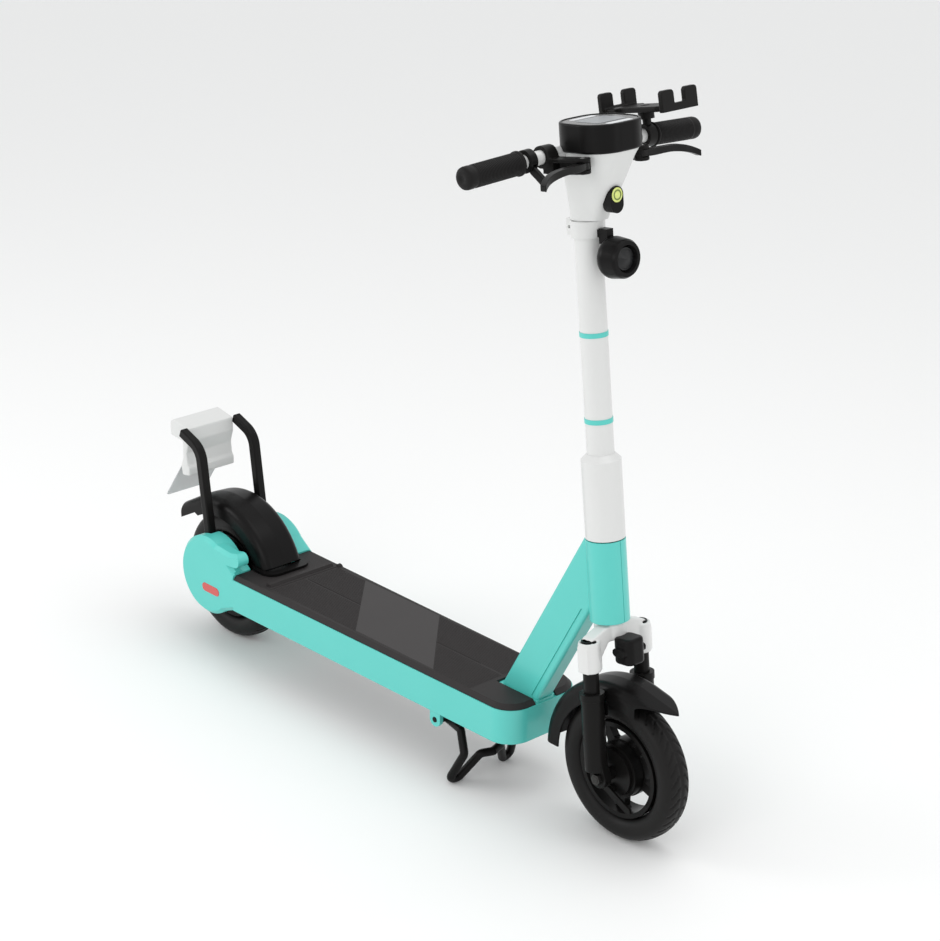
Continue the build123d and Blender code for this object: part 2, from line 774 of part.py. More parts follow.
with BuildPart() as centre_stand:
    with BuildSketch(Plane.XZ.offset(-(stand_middle - sleeve_half))):
        with Locations((stand_x, stand_z)):
            Circle(stand_sleeve_radius)
    extrude(amount=-2 * sleeve_half)
    for hand in (-1, 1):
        with BuildLine() as rod_path:
            FilletPolyline(
                (stand_x + 4, stand_middle + hand * 34, stand_z),
                (stand_x + 56, stand_middle + hand * 46, stand_z - 1),
                (knee_x, stand_middle + hand * 60, stand_z - 34),
                (foot_end_x, stand_middle + hand * foot_spread, stand_rod_radius),
                (foot_end_x + 3, stand_middle + hand * (foot_spread - 21), stand_rod_radius),
                (knee_x + 2, stand_middle + hand * 24, stand_z - 44),
                (knee_x + 8, stand_middle, stand_z - 46),
                radius=9,
            )
        with BuildSketch(Plane(rod_path.line @ 0, z_dir=rod_path.line % 0)):
            Circle(stand_rod_radius)
        sweep(path=rod_path.line)
    with BuildSketch(Plane.XZ.offset(-(stand_middle - sleeve_half - 1))):
        with Locations((stand_x, stand_z)):
            Circle(stand_pin_radius + slip_gap)
    extrude(amount=-2 * sleeve_half - 2, mode=Mode.SUBTRACT)
write(centre_stand, "centre_stand")

# ================================================================ steering column
with BuildPart() as steerer_tube:
    with BuildSketch(across(crown_high - 24)):
        Circle(steerer_radius)
        Circle(steerer_bore, mode=Mode.SUBTRACT)
    extrude(amount=520 - crown_high + 24)
write(steerer_tube, "steerer_tube")

with BuildPart() as stem_sleeve:
    with BuildSketch(across(sleeve_low)):
        Circle(sleeve_radius)
    extrude(amount=sleeve_high - sleeve_low)
    chamfer(faces().sort_by(Axis((0, 0, 0), (-rake_sin, 0, rake_cos)))[-1].edges(), sleeve_chamfer)
    with BuildSketch(across(sleeve_low)):
        Circle(steerer_radius)
    extrude(amount=sleeve_high - sleeve_low, mode=Mode.SUBTRACT)
    with BuildSketch(across(stem_low)):
        Circle(stem_radius)
    extrude(amount=sleeve_high - stem_low, mode=Mode.SUBTRACT)
write(stem_sleeve, "stem_sleeve")

clamp_radius = 15.0
clamp_half = 24.0
with BuildPart() as stem_tube:
    with BuildSketch(across(stem_low)):
        Circle(stem_radius)
    extrude(amount=stem_shoulder - stem_low)
    with BuildSketch(across(stem_shoulder)):
        Circle(stem_neck_radius)
    extrude(amount=bar_height - stem_shoulder)
    with BuildSketch(beside(clamp_half, 0, bar_height)):
        Circle(clamp_radius)
    extrude(amount=2 * clamp_half)
    with BuildSketch(across(stem_low)):
        Circle(stem_radius - stem_wall)
    extrude(amount=stem_shoulder - stem_low - 4, mode=Mode.SUBTRACT)
    with BuildSketch(beside(clamp_half, 0, bar_height)):
        Circle(bar_radius)
    extrude(amount=2 * clamp_half, mode=Mode.SUBTRACT)
write(stem_tube, "stem_tube")

band_heights = (593.0, 734.0)
with BuildPart() as stem_bands:
    for height in band_heights:
        with BuildSketch(across(height - 4)):
            Circle(stem_radius + 0.9)
            Circle(stem_radius, mode=Mode.SUBTRACT)
        extrude(amount=8)
write(stem_bands, "stem_bands")

with BuildPart() as stem_collar:
    with BuildSketch(across(collar_low)):
        Circle(collar_radius)
        with Locations((-collar_radius - 3, 0)):
            Rectangle(16, 18)
        Circle(stem_radius, mode=Mode.SUBTRACT)
        with Locations((-collar_radius - 2, 0)):
            Rectangle(20, 2.5, mode=Mode.SUBTRACT)
    extrude(amount=collar_high - collar_low)
    with BuildSketch(beside(10, -collar_radius - 5, (collar_low + collar_high) / 2)):
        Circle(2.6)
    extrude(amount=20, mode=Mode.SUBTRACT)
write(stem_collar, "stem_collar")

# the head case is lofted through four rounded sections: height, back, front, half width, corner
case_foot = stem_radius + case_margin
head_sections = [
    (head_case_low, -case_foot, 57.0, case_foot, 20.0),
    (945.0, -case_foot - 0.5, 63.5, case_foot + 2, 19.0),
    (987.0, -case_foot + 1, 72.5, case_foot + 11, 24.0),
    (head_case_high, -19.0, 93.0, 54.0, 43.0),
]
case_wall = 3.2


def case_faces(inset, low_lift):
    """Rounded sections of the head case, drawn in by the inset, from bottom to top."""
    drawn = []
    for index, (height, back, front, half, corner) in enumerate(head_sections):
        lift = low_lift if index == 0 else 0
        with BuildSketch(across(height + lift, ahead=(back + front) / 2)) as section:
            RectangleRounded(front - back - 2 * inset, 2 * (half - inset), max(corner - inset, 3))
        drawn.append(section.sketch)
    return drawn


bezel_height = 952.0
bezel_ahead = 61.5
bezel_front = 68.0
bezel_width = 27.0
bezel_length = 42.0
lens_radius = 11.8

with BuildPart() as stem_head:
    loft(sections=case_faces(0, 0))
    loft(sections=case_faces(case_wall, case_wall), mode=Mode.SUBTRACT)
    with BuildSketch(across(head_case_low)):
        Circle(stem_radius)
    extrude(amount=stem_shoulder - head_case_low, mode=Mode.SUBTRACT)
    with BuildSketch(beside(70, 0, bar_height)):
        Circle(bar_radius + 0.1)
    extrude(amount=140, mode=Mode.SUBTRACT)
    with BuildSketch(beside(clamp_half + 1, 0, bar_height)):
        Circle(clamp_radius + fit_gap)
    extrude(amount=2 * clamp_half + 2, mode=Mode.SUBTRACT)
    with BuildSketch(facing(bezel_ahead, 0, bezel_height)):
        SlotOverall(bezel_length, bezel_width, rotation=90)
    extrude(amount=20, mode=Mode.SUBTRACT)
write(stem_head, "stem_head")

with BuildPart() as indicator_bezel:
    with BuildSketch(facing(bezel_ahead, 0, bezel_height)):
        SlotOverall(bezel_length, bezel_width, rotation=90)
    extrude(amount=bezel_front - bezel_ahead)
    with BuildSketch(facing(bezel_front, 0, bezel_height + (bezel_length - bezel_width) / 2)):
        Circle(lens_radius)
    extrude(amount=-4, mode=Mode.SUBTRACT)
write(indicator_bezel, "indicator_bezel")

with BuildPart() as indicator_lens:
    with BuildSketch(facing(bezel_front - 4, 0, bezel_height + (bezel_length - bezel_width) / 2)):
        Circle(lens_radius)
    extrude(amount=4.6)
write(indicator_lens, "indicator_lens")

# ---------------------------------------------------------------- handlebar and its controls
bend_plane_right = on_bar(bar_bend_side, -1)
bar_points = [on_bar(bar_half, -1).origin, bend_plane_right.origin]
bar_points += [on_bar(bar_bend_side, 1).origin, on_bar(bar_half, 1).origin]

with BuildPart() as handlebar:
    with BuildLine() as bar_line:
        FilletPolyline(*bar_points, radius=60)
    with BuildSketch(Plane(bar_line.line @ 0, z_dir=bar_line.line % 0)):
        Circle(bar_radius)
        Circle(bar_radius - 2, mode=Mode.SUBTRACT)
    sweep(path=bar_line.line)
write(handlebar, "handlebar")


def build_grip(hand, inner):
    """Rubber grip with a flange at its inner end and a closed outer end."""
    length = bar_half + 4 - inner
    with BuildPart() as grip:
        with BuildSketch(on_bar(inner, hand)):
            Circle(grip_radius)
        extrude(amount=length)
        fillet(faces().sort_by(Axis.Y)[-1 if hand > 0 else 0].edges(), 7)
        with BuildSketch(on_bar(inner, hand)):
            Circle(grip_radius + 1.5)
        extrude(amount=4)
        with BuildSketch(on_bar(inner, hand)):
            Circle(bar_radius)
        extrude(amount=bar_half - inner + 0.1, mode=Mode.SUBTRACT)
    return grip


write(build_grip(-1, grip_right_inner), "grip_right")
write(build_grip(1, grip_left_inner), "grip_left")

perch_inner = 70.0
perch_outer = 93.0
perch_ring = 17.5
pivot_ahead = 62.0
pivot_side = 64.0
perch_low = 1002.0
perch_high = 1026.0
lever_low = 1008.0
lever_high = 1019.6
pin_radius = 3.5
pivot_boss = 12.0
lever_eye = 10.0

with BuildPart() as brake_perches:
    for hand in (-1, 1):
        with BuildSketch(beside(hand * perch_inner, 0, bar_height)):
            Circle(perch_ring)
        extrude(amount=-hand * (perch_outer - perch_inner))
        with BuildSketch(across(perch_low)):
            Polygon(
                (4, hand * perch_inner),
                (4, hand * perch_outer),
                (34, hand * 90),
                (pivot_ahead + 4, hand * (pivot_side + pivot_boss - 1)),
                (pivot_ahead - 10, hand * (pivot_side - pivot_boss + 4)),
                (34, hand * 62),
                align=None,
            )
            with Locations((pivot_ahead, hand * pivot_side)):
                Circle(pivot_boss)
        extrude(amount=perch_high - perch_low)
    for hand in (-1, 1):
        with BuildSketch(across(lever_low - fit_gap)):
            with Locations((pivot_ahead, hand * pivot_side)):
                Circle(lever_eye + 1)
            Polygon(
                (pivot_ahead - 8, hand * (pivot_side - 2)),
                (24, hand * 76),
                (24, hand * 120),
                (100, hand * 120),
                (100, hand * (pivot_side - 4)),
                (pivot_ahead, hand * (pivot_side - 10)),
                align=None,
            )
        extrude(amount=lever_high - lever_low + 2 * fit_gap, mode=Mode.SUBTRACT)
        with BuildSketch(across(perch_low)):
            with Locations((pivot_ahead, hand * pivot_side)):
                Circle(pin_radius)
        extrude(amount=perch_high - perch_low, mode=Mode.SUBTRACT)
        with BuildSketch(beside(hand * (perch_inner - 10), 0, bar_height)):
            Circle(bar_radius)
        extrude(amount=-hand * (perch_outer - perch_inner + 11), mode=Mode.SUBTRACT)
write(brake_perches, "brake_perches")

with BuildPart() as lever_pins:
    for hand in (-1, 1):
        with BuildSketch(across(perch_low - 0.5)):
            with Locations((pivot_ahead, hand * pivot_side)):
                Circle(pin_radius)
        extrude(amount=perch_high - perch_low + 1)
write(lever_pins, "lever_pins")


lever_drop = 17.0
lever_tip_ahead = 22.0


def build_lever(hand):
    """Brake lever: an eye on the pivot pin and a blade that bows out and droops to its tip."""
    with BuildPart() as lever:
        with BuildSketch(across(lever_low - 2 * lever_drop)):
            with BuildLine():
                front_edge = Spline(
                    (pivot_ahead + 9, hand * (pivot_side + 1)),
                    (pivot_ahead + 15, hand * (pivot_side + 30)),
                    (pivot_ahead + 17, hand * (pivot_side + 75)),
                    (pivot_ahead + lever_tip_ahead + 6, hand * (pivot_side + lever_reach)),
                )
                back_edge = Spline(
                    (pivot_ahead + lever_tip_ahead - 7, hand * (pivot_side + lever_reach)),
                    (pivot_ahead + 4, hand * (pivot_side + 75)),
                    (pivot_ahead + 1, hand * (pivot_side + 30)),
                    (pivot_ahead - 8, hand * (pivot_side + 1)),
                )
                Line(front_edge @ 1, back_edge @ 0)
                Line(back_edge @ 1, front_edge @ 0)
            make_face()
            with Locations((pivot_ahead, hand * pivot_side)):
                Circle(lever_eye)
            with Locations((pivot_ahead, hand * pivot_side)):
                Circle(pin_radius + slip_gap, mode=Mode.SUBTRACT)
        extrude(amount=3 * lever_drop)
        with BuildSketch(facing(0, 0, 0)):
            with BuildLine():
                top_edge = Spline(
                    (hand * (pivot_side + 12), lever_high),
                    (hand * (pivot_side + 45), lever_high - 0.6),
                    (hand * (pivot_side + 82), lever_high - 5),
                    (hand * (pivot_side + lever_reach + 1), lever_high - lever_drop),
                    tangents=((hand, 0), (hand * 0.8, -0.6)),
                )
                low_edge = Spline(
                    (hand * (pivot_side + lever_reach + 1), lever_high - lever_drop - 10),
                    (hand * (pivot_side + 78), lever_low - 4),
                    (hand * (pivot_side + 45), lever_low + 0.4),
                    (hand * (pivot_side + 12), lever_low),
                    tangents=((-hand * 0.8, 0.6), (-hand, 0)),
                )
                Line(top_edge @ 1, low_edge @ 0)
                Line(low_edge @ 1, (hand * (pivot_side - 20), lever_low))
                Line((hand * (pivot_side - 20), lever_low), (hand * (pivot_side - 20), lever_high))
                Line((hand * (pivot_side - 20), lever_high), top_edge @ 0)
            make_face()
        extrude(amount=160, mode=Mode.INTERSECT)
    return lever


for hand, name in ((-1, "brake_lever_right"), (1, "brake_lever_left")):
    write(build_lever(hand), name)

throttle_inner = 114.0
throttle_width = 13.5
paddle_hub = 14.0
paddle_angle = -38.0
paddle_swing = 35.0
throttle_wall = 3.0

with BuildPart() as throttle_body:
    with BuildSketch(on_bar(throttle_inner, -1)):
        Circle(18)
        Circle(bar_radius, mode=Mode.SUBTRACT)
    extrude(amount=throttle_width)
    # pocket for the paddle's hub, open where the paddle swings
    with BuildSketch(on_bar(throttle_inner + throttle_wall, -1)):
        Circle(paddle_hub + fit_gap)
        Circle(bar_radius, mode=Mode.SUBTRACT)
    extrude(amount=throttle_width - 2 * throttle_wall, mode=Mode.SUBTRACT)
    with BuildSketch(on_bar(throttle_inner + throttle_wall, -1)):
        with BuildLine():
            first = PolarLine((0, 0), 22, paddle_angle + 26)
            swing = CenterArc((0, 0), 22, paddle_angle + 26, -(paddle_swing + 58))
            Line(swing @ 1, (0, 0))
        make_face()
        Circle(bar_radius, mode=Mode.SUBTRACT)
    extrude(amount=throttle_width - 2 * throttle_wall, mode=Mode.SUBTRACT)
write(throttle_body, "throttle_body")

with BuildPart() as throttle_paddle:
    with BuildSketch(on_bar(throttle_inner + throttle_wall + fit_gap, -1)):
        Circle(paddle_hub)
        Circle(bar_radius + slip_gap, mode=Mode.SUBTRACT)
        with Locations(Location((0, 0, 0), paddle_angle)):
            with Locations((30.5, -3)):
                SlotOverall(37, 13)
    extrude(amount=throttle_width - 2 * (throttle_wall + fit_gap))
write(throttle_paddle, "throttle_paddle")

pod_inner = 96.0
pod_width = 19.0
pod_radius = 17.0
button_radius = 6.0
button_travel = 2.5

with BuildPart() as switch_pod:
    with BuildSketch(on_bar(pod_inner, 1)):
        Circle(pod_radius)
        with Locations((-pod_radius + 2, 0)):
            RectangleRounded(12, 24, 3)
    extrude(amount=pod_width)
    with BuildSketch(on_bar(pod_inner, 1)):
        Circle(bar_radius)
    extrude(amount=pod_width, mode=Mode.SUBTRACT)
    with BuildSketch(facing(-bar_radius - 3, pod_inner + pod_width / 2, bar_height)):
        Circle(button_radius + fit_gap)
    extrude(amount=-20, mode=Mode.SUBTRACT)
write(switch_pod, "switch_pod")

with BuildPart() as horn_button:
    with BuildSketch(facing(-bar_radius - 3 - button_travel - fit_gap, pod_inner + pod_width / 2, bar_height)):
        Circle(button_radius)
    extrude(amount=-(pod_radius + 4 + 3 - bar_radius - 3))
    fillet(faces().sort_by(Axis.X)[0].edges(), 1)
write(horn_button, "horn_button")

# ---------------------------------------------------------------- display
with BuildPart() as display_housing:
    with BuildSketch(across(display_low, ahead=display_ahead)):
        RectangleRounded(display_length, display_width, display_radius)
    extrude(amount=display_high - display_low)
    lean = Axis((0, 0, 0), (-rake_sin, 0, rake_cos))
    fillet(faces().sort_by(lean)[-1].edges(), 3)
    fillet(faces().sort_by(lean)[0].edges(), 4)
    with BuildSketch(across(display_high - 4, ahead=display_ahead)):
        RectangleRounded(display_length - 9, display_width - 9, display_radius - 4.5)
    extrude(amount=10, mode=Mode.SUBTRACT)
    with BuildSketch(across(1052, ahead=display_ahead)):
        RectangleRounded(display_length - 16, display_width - 16, display_radius - 8)
    extrude(amount=30, mode=Mode.SUBTRACT)
    with BuildSketch(beside(70, 0, bar_height)):
        Circle(bar_radius + fit_gap)
    extrude(amount=140, mode=Mode.SUBTRACT)
    with BuildSketch(beside(clamp_half + 1, 0, bar_height)):
        Circle(clamp_radius + fit_gap)
    extrude(amount=2 * clamp_half + 2, mode=Mode.SUBTRACT)
write(display_housing, "display_housing")

with BuildPart() as display_face:
    with BuildSketch(across(display_high - 4, ahead=display_ahead)):
        RectangleRounded(display_length - 9, display_width - 9, display_radius - 4.5)
    extrude(amount=3)
write(display_face, "display_face")

# ---------------------------------------------------------------- phone holder
holder_inner = 132.5
holder_width = 17.0
holder_side = holder_inner + holder_width / 2 + 1.2
tray_height = 1063.0
post_radius = 7.0
jaw_travel = 20.0

cradle_tilt = 5.0
cradle_lean = radians(rake + cradle_tilt)
cradle_ahead = Vector(cos(cradle_lean), 0, sin(cradle_lean))
cradle_up = Vector(-sin(cradle_lean), 0, cos(cradle_lean))
cradle_foot = at(0, holder_side, tray_height)


def on_cradle(height=0.0, ahead=0.0):
    """Plane of the phone tray, tipped back a little more than the bar; z is its swivel axis."""
    place = cradle_foot + cradle_up * height + cradle_ahead * ahead
    return Plane(place, x_dir=cradle_ahead, z_dir=cradle_up)


with BuildPart() as phone_clamp:
    with BuildSketch(on_bar(holder_inner, 1)):
        Circle(18)
        Circle(bar_radius, mode=Mode.SUBTRACT)
    extrude(amount=holder_width)
    with BuildSketch(on_cradle(bar_height + 14.5 - tray_height)):
        Circle(post_radius)
    extrude(amount=tray_height - bar_height - 14.5 + 5)
    with BuildSketch(on_cradle(-12)):
        Circle(post_radius + 6)
    extrude(amount=12 - fit_gap)
write(phone_clamp, "phone_clamp")

finger_reach = 66.0
finger_side = 26.2
finger_width = 27.5
finger_thickness = 9.0
finger_height = 34.0
finger_corner = 6.0
finger_root = 12.0
tray_offset = 6.0
tray_width = 50.0
tray_thickness = 9.0
slider_width = 22.0
slider_thickness = 3.2


def finger_plate(ahead):
    """Upright plate across the tray with two round-cornered fingers."""
    face = on_cradle(0, ahead + finger_thickness / 2)
    plate_width = 2 * finger_side + finger_width
    with BuildSketch(Plane(face.origin, x_dir=(0, 1, 0), z_dir=cradle_ahead)) as plate:
        with Locations((0, finger_root / 2)):
            Rectangle(plate_width, finger_root)
        for side in (-finger_side, finger_side):
            with Locations((side, finger_height / 2)):
                RectangleRounded(finger_width, finger_height, finger_corner)
            with Locations((side, finger_root / 2)):
                Rectangle(finger_width, finger_root)
    return plate.sketch


with BuildPart() as phone_cradle:
    with BuildSketch(on_cradle(0, tray_offset)):
        RectangleRounded(2 * finger_reach - 28, tray_width, 16)
    extrude(amount=tray_thickness)
    with BuildSketch(on_cradle(0, tray_offset)):
        with Locations((-finger_reach + 13, 0)):
            Rectangle(26, 2 * finger_side + finger_width - 12)
    extrude(amount=tray_thickness)
    extrude(finger_plate(tray_offset - finger_reach), amount=-finger_thickness)
    # channel for the sliding jaw, and the socket over the post
    channel = Plane(
        on_cradle(tray_thickness / 2).origin + Vector(0, slider_width / 2 + fit_gap, 0),
        x_dir=cradle_ahead,
        z_dir=(0, -1, 0),
    )
    with BuildSketch(channel):
        with Locations((40, 0)):
            Rectangle(112, slider_thickness + 2 * fit_gap)
    extrude(amount=slider_width + 2 * fit_gap, mode=Mode.SUBTRACT)
    with BuildSketch(on_cradle()):
        Circle(post_radius + slip_gap)
    extrude(amount=tray_thickness, mode=Mode.SUBTRACT)
write(phone_cradle, "phone_cradle")

jaw_root = 16.0
with BuildPart() as phone_jaw:
    blade = Plane(
        on_cradle(tray_thickness / 2).origin + Vector(0, slider_width / 2, 0),
        x_dir=cradle_ahead,
        z_dir=(0, -1, 0),
    )
    with BuildSketch(blade):
        with Locations(((jaw_root + finger_reach) / 2 + 5, 0)):
            Rectangle(finger_reach - jaw_root + 6, slider_thickness)
    extrude(amount=slider_width)
    extrude(finger_plate(tray_offset + finger_reach), amount=-finger_thickness)
write(phone_jaw, "phone_jaw")

# ---------------------------------------------------------------- headlight
lamp_height = 861.0
lamp_back = collar_radius + 5.5
lamp_face = lamp_back + 50

with BuildPart() as headlight_housing:
    with BuildSketch(beside(0, 0, lamp_height)):
        with BuildLine():
            Line((lamp_back, 0), (lamp_face - 9, 0))
            Line((lamp_face - 9, 0), (lamp_face - 9, 19))
            Line((lamp_face - 9, 19), (lamp_face, 22))
            Line((lamp_face, 22), (lamp_face, 28))
            Line((lamp_face, 28), (lamp_face - 5, 31))
            Line((lamp_face - 5, 31), (60, 33))
            Spline((60, 33), (lamp_back + 13, 30), (lamp_back + 4, 18), (lamp_back, 0))
        make_face()
    lamp_origin = at(0, 0, lamp_height)
    revolve(axis=Axis(lamp_origin, Vector(rake_cos, 0, rake_sin)))
    with BuildSketch(across(lamp_height + 20)):
        with Locations((lamp_back + 6, 0)):
            Rectangle(18, 14)
    extrude(amount=collar_high - lamp_height - 31)
    with BuildSketch(across(collar_low + 2)):
        with Locations((collar_radius + 7.5, 0)):
            Rectangle(26, 14)
        Circle(collar_radius + 0.01, mode=Mode.SUBTRACT)
    extrude(amount=12)
write(headlight_housing, "headlight_housing")

with BuildPart() as headlight_lens:
    with BuildSketch(facing(lamp_face - 9, 0, lamp_height)):
        Circle(18.9)
    extrude(amount=4)
    fillet(faces().sort_by(Axis.X)[-1].edges(), 1.5)
write(headlight_lens, "headlight_lens")

# ================================================================ fork
crown_half_depth = 12.0
socket_inner = leg_side - socket_radius + 1
socket_outer = leg_side + socket_radius - 1
crown_boss_low = 226.0
crown_boss_radius = 27.0

with BuildPart() as fork_crown:
    with BuildSketch(facing(leg_lead, 0, 0)):
        Polygon(
            (-30, crown_high - 2),
            (-leg_side - 1, 242),
            (-socket_outer, 228),
            (-socket_outer, socket_low),
            (-socket_inner, socket_low),
            (-socket_inner, 206),
            (-25, 226),
            (25, 226),
            (socket_inner, 206),
            (socket_inner, socket_low),
            (socket_outer, socket_low),
            (socket_outer, 228),
            (leg_side + 1, 242),
            (30, crown_high - 2),
            align=None,
        )
    extrude(amount=crown_half_depth, both=True)
    for hand in (-1, 1):
        with BuildSketch(across(socket_low, ahead=leg_lead, side=hand * leg_side)):
            Circle(socket_radius)
        extrude(amount=socket_high - socket_low)
    with BuildSketch(across(crown_boss_low)):
        Circle(crown_boss_radius)
    extrude(amount=crown_high - crown_boss_low)
    with BuildSketch(across(crown_high - 24)):
        Circle(steerer_radius)
    extrude(amount=30, mode=Mode.SUBTRACT)
    for hand in (-1, 1):
        with BuildSketch(across(socket_low, ahead=leg_lead, side=hand * leg_side)):
            Circle(stanchion_radius)
        extrude(amount=54, mode=Mode.SUBTRACT)
write(fork_crown, "fork_crown")

horn_low = 189.0
horn_height = 45.0
horn_size = 40.0
horn_ahead = leg_lead + crown_half_depth + horn_size / 2
with BuildPart() as horn:
    with BuildSketch(across(horn_low, ahead=horn_ahead)):
        RectangleRounded(horn_size, horn_size, 12)
    extrude(amount=horn_height)
    fillet(edges().filter_by(across(0)), 5)
    with BuildSketch(beside(horn_size / 2 + 6, 0, 0)):
        with Locations((horn_ahead, horn_low + horn_height / 2)):
            SlotOverall(28, 14)
    extrude(amount=horn_size + 12)
    # relieved behind for the boss of the crown
    with BuildSketch(across(crown_boss_low)):
        Circle(crown_boss_radius + fit_gap)
    extrude(amount=horn_height, mode=Mode.SUBTRACT)
write(horn, "horn")

with BuildPart() as fork_stanchions:
    for hand in (-1, 1):
        with BuildSketch(across(stanchion_low, ahead=leg_lead, side=hand * leg_side)):
            Circle(stanchion_radius)
            Circle(stanchion_radius - stanchion_wall, mode=Mode.SUBTRACT)
        extrude(amount=socket_low + 54 - stanchion_low)
write(fork_stanchions, "fork_stanchions")

leg_bottom = 12.0
with BuildPart() as fork_lower_legs:
    for hand in (-1, 1):
        with BuildSketch(across(leg_bottom, ahead=leg_lead, side=hand * leg_side)):
            Circle(leg_radius)
        extrude(amount=leg_top - leg_bottom)
        with BuildSketch(across(leg_top - 12, ahead=leg_lead, side=hand * leg_side)):
            Circle(leg_radius + 1.7)
        extrude(amount=12)
        # dropout that carries the axle
        with BuildSketch(beside(hand * dropout_inner, 0, 0)):
            with Locations((axle_lead, 0)):
                Circle(17)
            Polygon((0, 0), (axle_lead + 17, 0), (axle_lead + 8, 34), (-8, 34), align=None)
        extrude(amount=-hand * (dropout_outer - dropout_inner))
        with BuildSketch(across(40, ahead=leg_lead, side=hand * leg_side)):
            Circle(leg_bore)
        extrude(amount=leg_top - 40, mode=Mode.SUBTRACT)
        with BuildSketch(Plane.XZ.offset(-hand * (dropout_inner - 1))):
            with Locations((front_x, axle_z)):
                Circle(axle_radius)
        extrude(amount=-hand * 30, mode=Mode.SUBTRACT)
write(fork_lower_legs, "fork_lower_legs")

spring_radius = 7.5
spring_wire = 1.2
spring_low = 40.5
spring_high = socket_low + 20
with BuildPart() as fork_springs:
    for hand in (-1, 1):
        with BuildSketch(across(spring_low, ahead=leg_lead, side=hand * leg_side)):
            Circle(spring_radius + spring_wire)
            Circle(spring_radius - spring_wire, mode=Mode.SUBTRACT)
        extrude(amount=spring_high - spring_low)
write(fork_springs, "fork_springs")

front_fender_rear_angle = 180.0
front_fender_front_angle = 78.0
front_beak_length = 80.0

with BuildPart() as front_fender:
    with BuildSketch(spoke_plane(front_x, axle_z, front_fender_rear_angle)):
        fender_section(front_fender_radius, front_fender_half)
    revolve(
        axis=axle_axis(front_x, axle_z),
        revolution_arc=front_fender_rear_angle - front_fender_front_angle,
    )
    # straight beak in front, cut to a leaf-shaped point in plan and shallower towards its tip
    beak_plane = spoke_plane(front_x, axle_z, front_fender_front_angle)
    with BuildSketch(beak_plane):
        fender_section(front_fender_radius, front_fender_half)
    extrude(amount=front_beak_length)
    beak_a = radians(front_fender_front_angle)
    beak_top = (front_x + front_fender_radius * cos(beak_a), axle_z + front_fender_radius * sin(beak_a))
    beak_tip_x = beak_top[0] + front_beak_length * sin(beak_a)
    with BuildSketch(Plane.XY.offset(axle_z + 60)):
        for hand in (-1, 1):
            with BuildLine():
                Spline(
                    (beak_tip_x, 0),
                    (beak_tip_x - 26, hand * 20),
                    (beak_tip_x - front_beak_length - 6, hand * (front_fender_half + 1)),
                    tangents=((-0.5, hand * 0.5), (-1, hand * 0.15)),
                )
                Polyline(
                    (beak_tip_x - front_beak_length - 6, hand * (front_fender_half + 1)),
                    (beak_tip_x - front_beak_length - 6, hand * 70),
                    (beak_tip_x + 40, hand * 70),
                    (beak_tip_x + 40, 0),
                    (beak_tip_x, 0),
                )
            make_face()
    extrude(amount=140, mode=Mode.SUBTRACT)
    with BuildSketch(Plane.XZ.offset(front_fender_half + 5)):
        along = Vector(sin(beak_a), -cos(beak_a))
        down = Vector(-cos(beak_a), -sin(beak_a))
        top = Vector(*beak_top)
        corners = [(10, fender_depth + 8), (front_beak_length + 5, 15), (front_beak_length + 5, 90), (10, 90)]
        places = [top + along * reach + down * depth for reach, depth in corners]
        Polygon(*[(place.X, place.Y) for place in places], align=None)
    extrude(amount=-2 * (front_fender_half + 5), mode=Mode.SUBTRACT)
    for hand in (-1, 1):
        with BuildSketch(beside(hand * (front_fender_half - 1), 0, 0)):
            with Locations((leg_lead, 118)):
                RectangleRounded(26, 30, 4)
        extrude(amount=-hand * (leg_side - leg_radius - front_fender_half + 1))
write(front_fender, "front_fender")

with BuildPart() as front_axle:
    with BuildSketch(Plane.XZ.offset(dropout_outer + 8)):
        with Locations((front_x, axle_z)):
            Circle(axle_radius)
    extrude(amount=-2 * (dropout_outer + 8))
    for hand in (-1, 1):
        with BuildSketch(Plane.XZ.offset(-hand * dropout_outer)):
            with Locations((front_x, axle_z)):
                RegularPolygon(10, 6)
        extrude(amount=-hand * 7)
    with BuildSketch(Plane.XZ.offset(-(drum_half + 1.5))):
        with Locations((front_x, axle_z)):
            Circle(10)
    extrude(amount=-(dropout_inner - drum_half - 1.5))
write(front_axle, "front_axle")

with BuildPart() as brake_plate:
    with BuildSketch(Plane.XZ.offset(drum_half)):
        with Locations((front_x, axle_z)):
            Circle(drum_bore - shoe_gap)
    extrude(amount=6)
    with BuildSketch(Plane.XZ.offset(drum_half + 6)):
        with Locations((front_x, axle_z)):
            Circle(11)
    extrude(amount=dropout_inner - drum_half - 6)
    # two shoes inside the drum
    with BuildSketch(Plane.XZ.offset(drum_half)):
        with Locations((front_x, axle_z)):
            Circle(drum_bore - shoe_gap)
            Circle(drum_bore - shoe_gap - 9, mode=Mode.SUBTRACT)
            Rectangle(16, 2 * drum_bore, mode=Mode.SUBTRACT)
    extrude(amount=-16)
    # arm that the brake cable would pull, and its cam boss
    with BuildSketch(Plane.XZ.offset(drum_half + 6)):
        with Locations((front_x + 4, axle_z - 27)):
            Circle(8)
    extrude(amount=7)
    with BuildSketch(Plane.XZ.offset(drum_half + 13)):
        with Locations(Location((front_x + 26, axle_z - 38, 0), -25)):
            SlotOverall(62, 12)
    extrude(amount=4)
    with BuildSketch(Plane.XZ.offset(drum_half - 1)):
        with Locations((front_x, axle_z)):
            Circle(axle_radius)
    extrude(amount=40, mode=Mode.SUBTRACT)
write(brake_plate, "brake_plate")

# ================================================================ wheels
tyre_widest = 0.49             # shares of the tyre's height over its rim
tyre_shoulder = 0.88


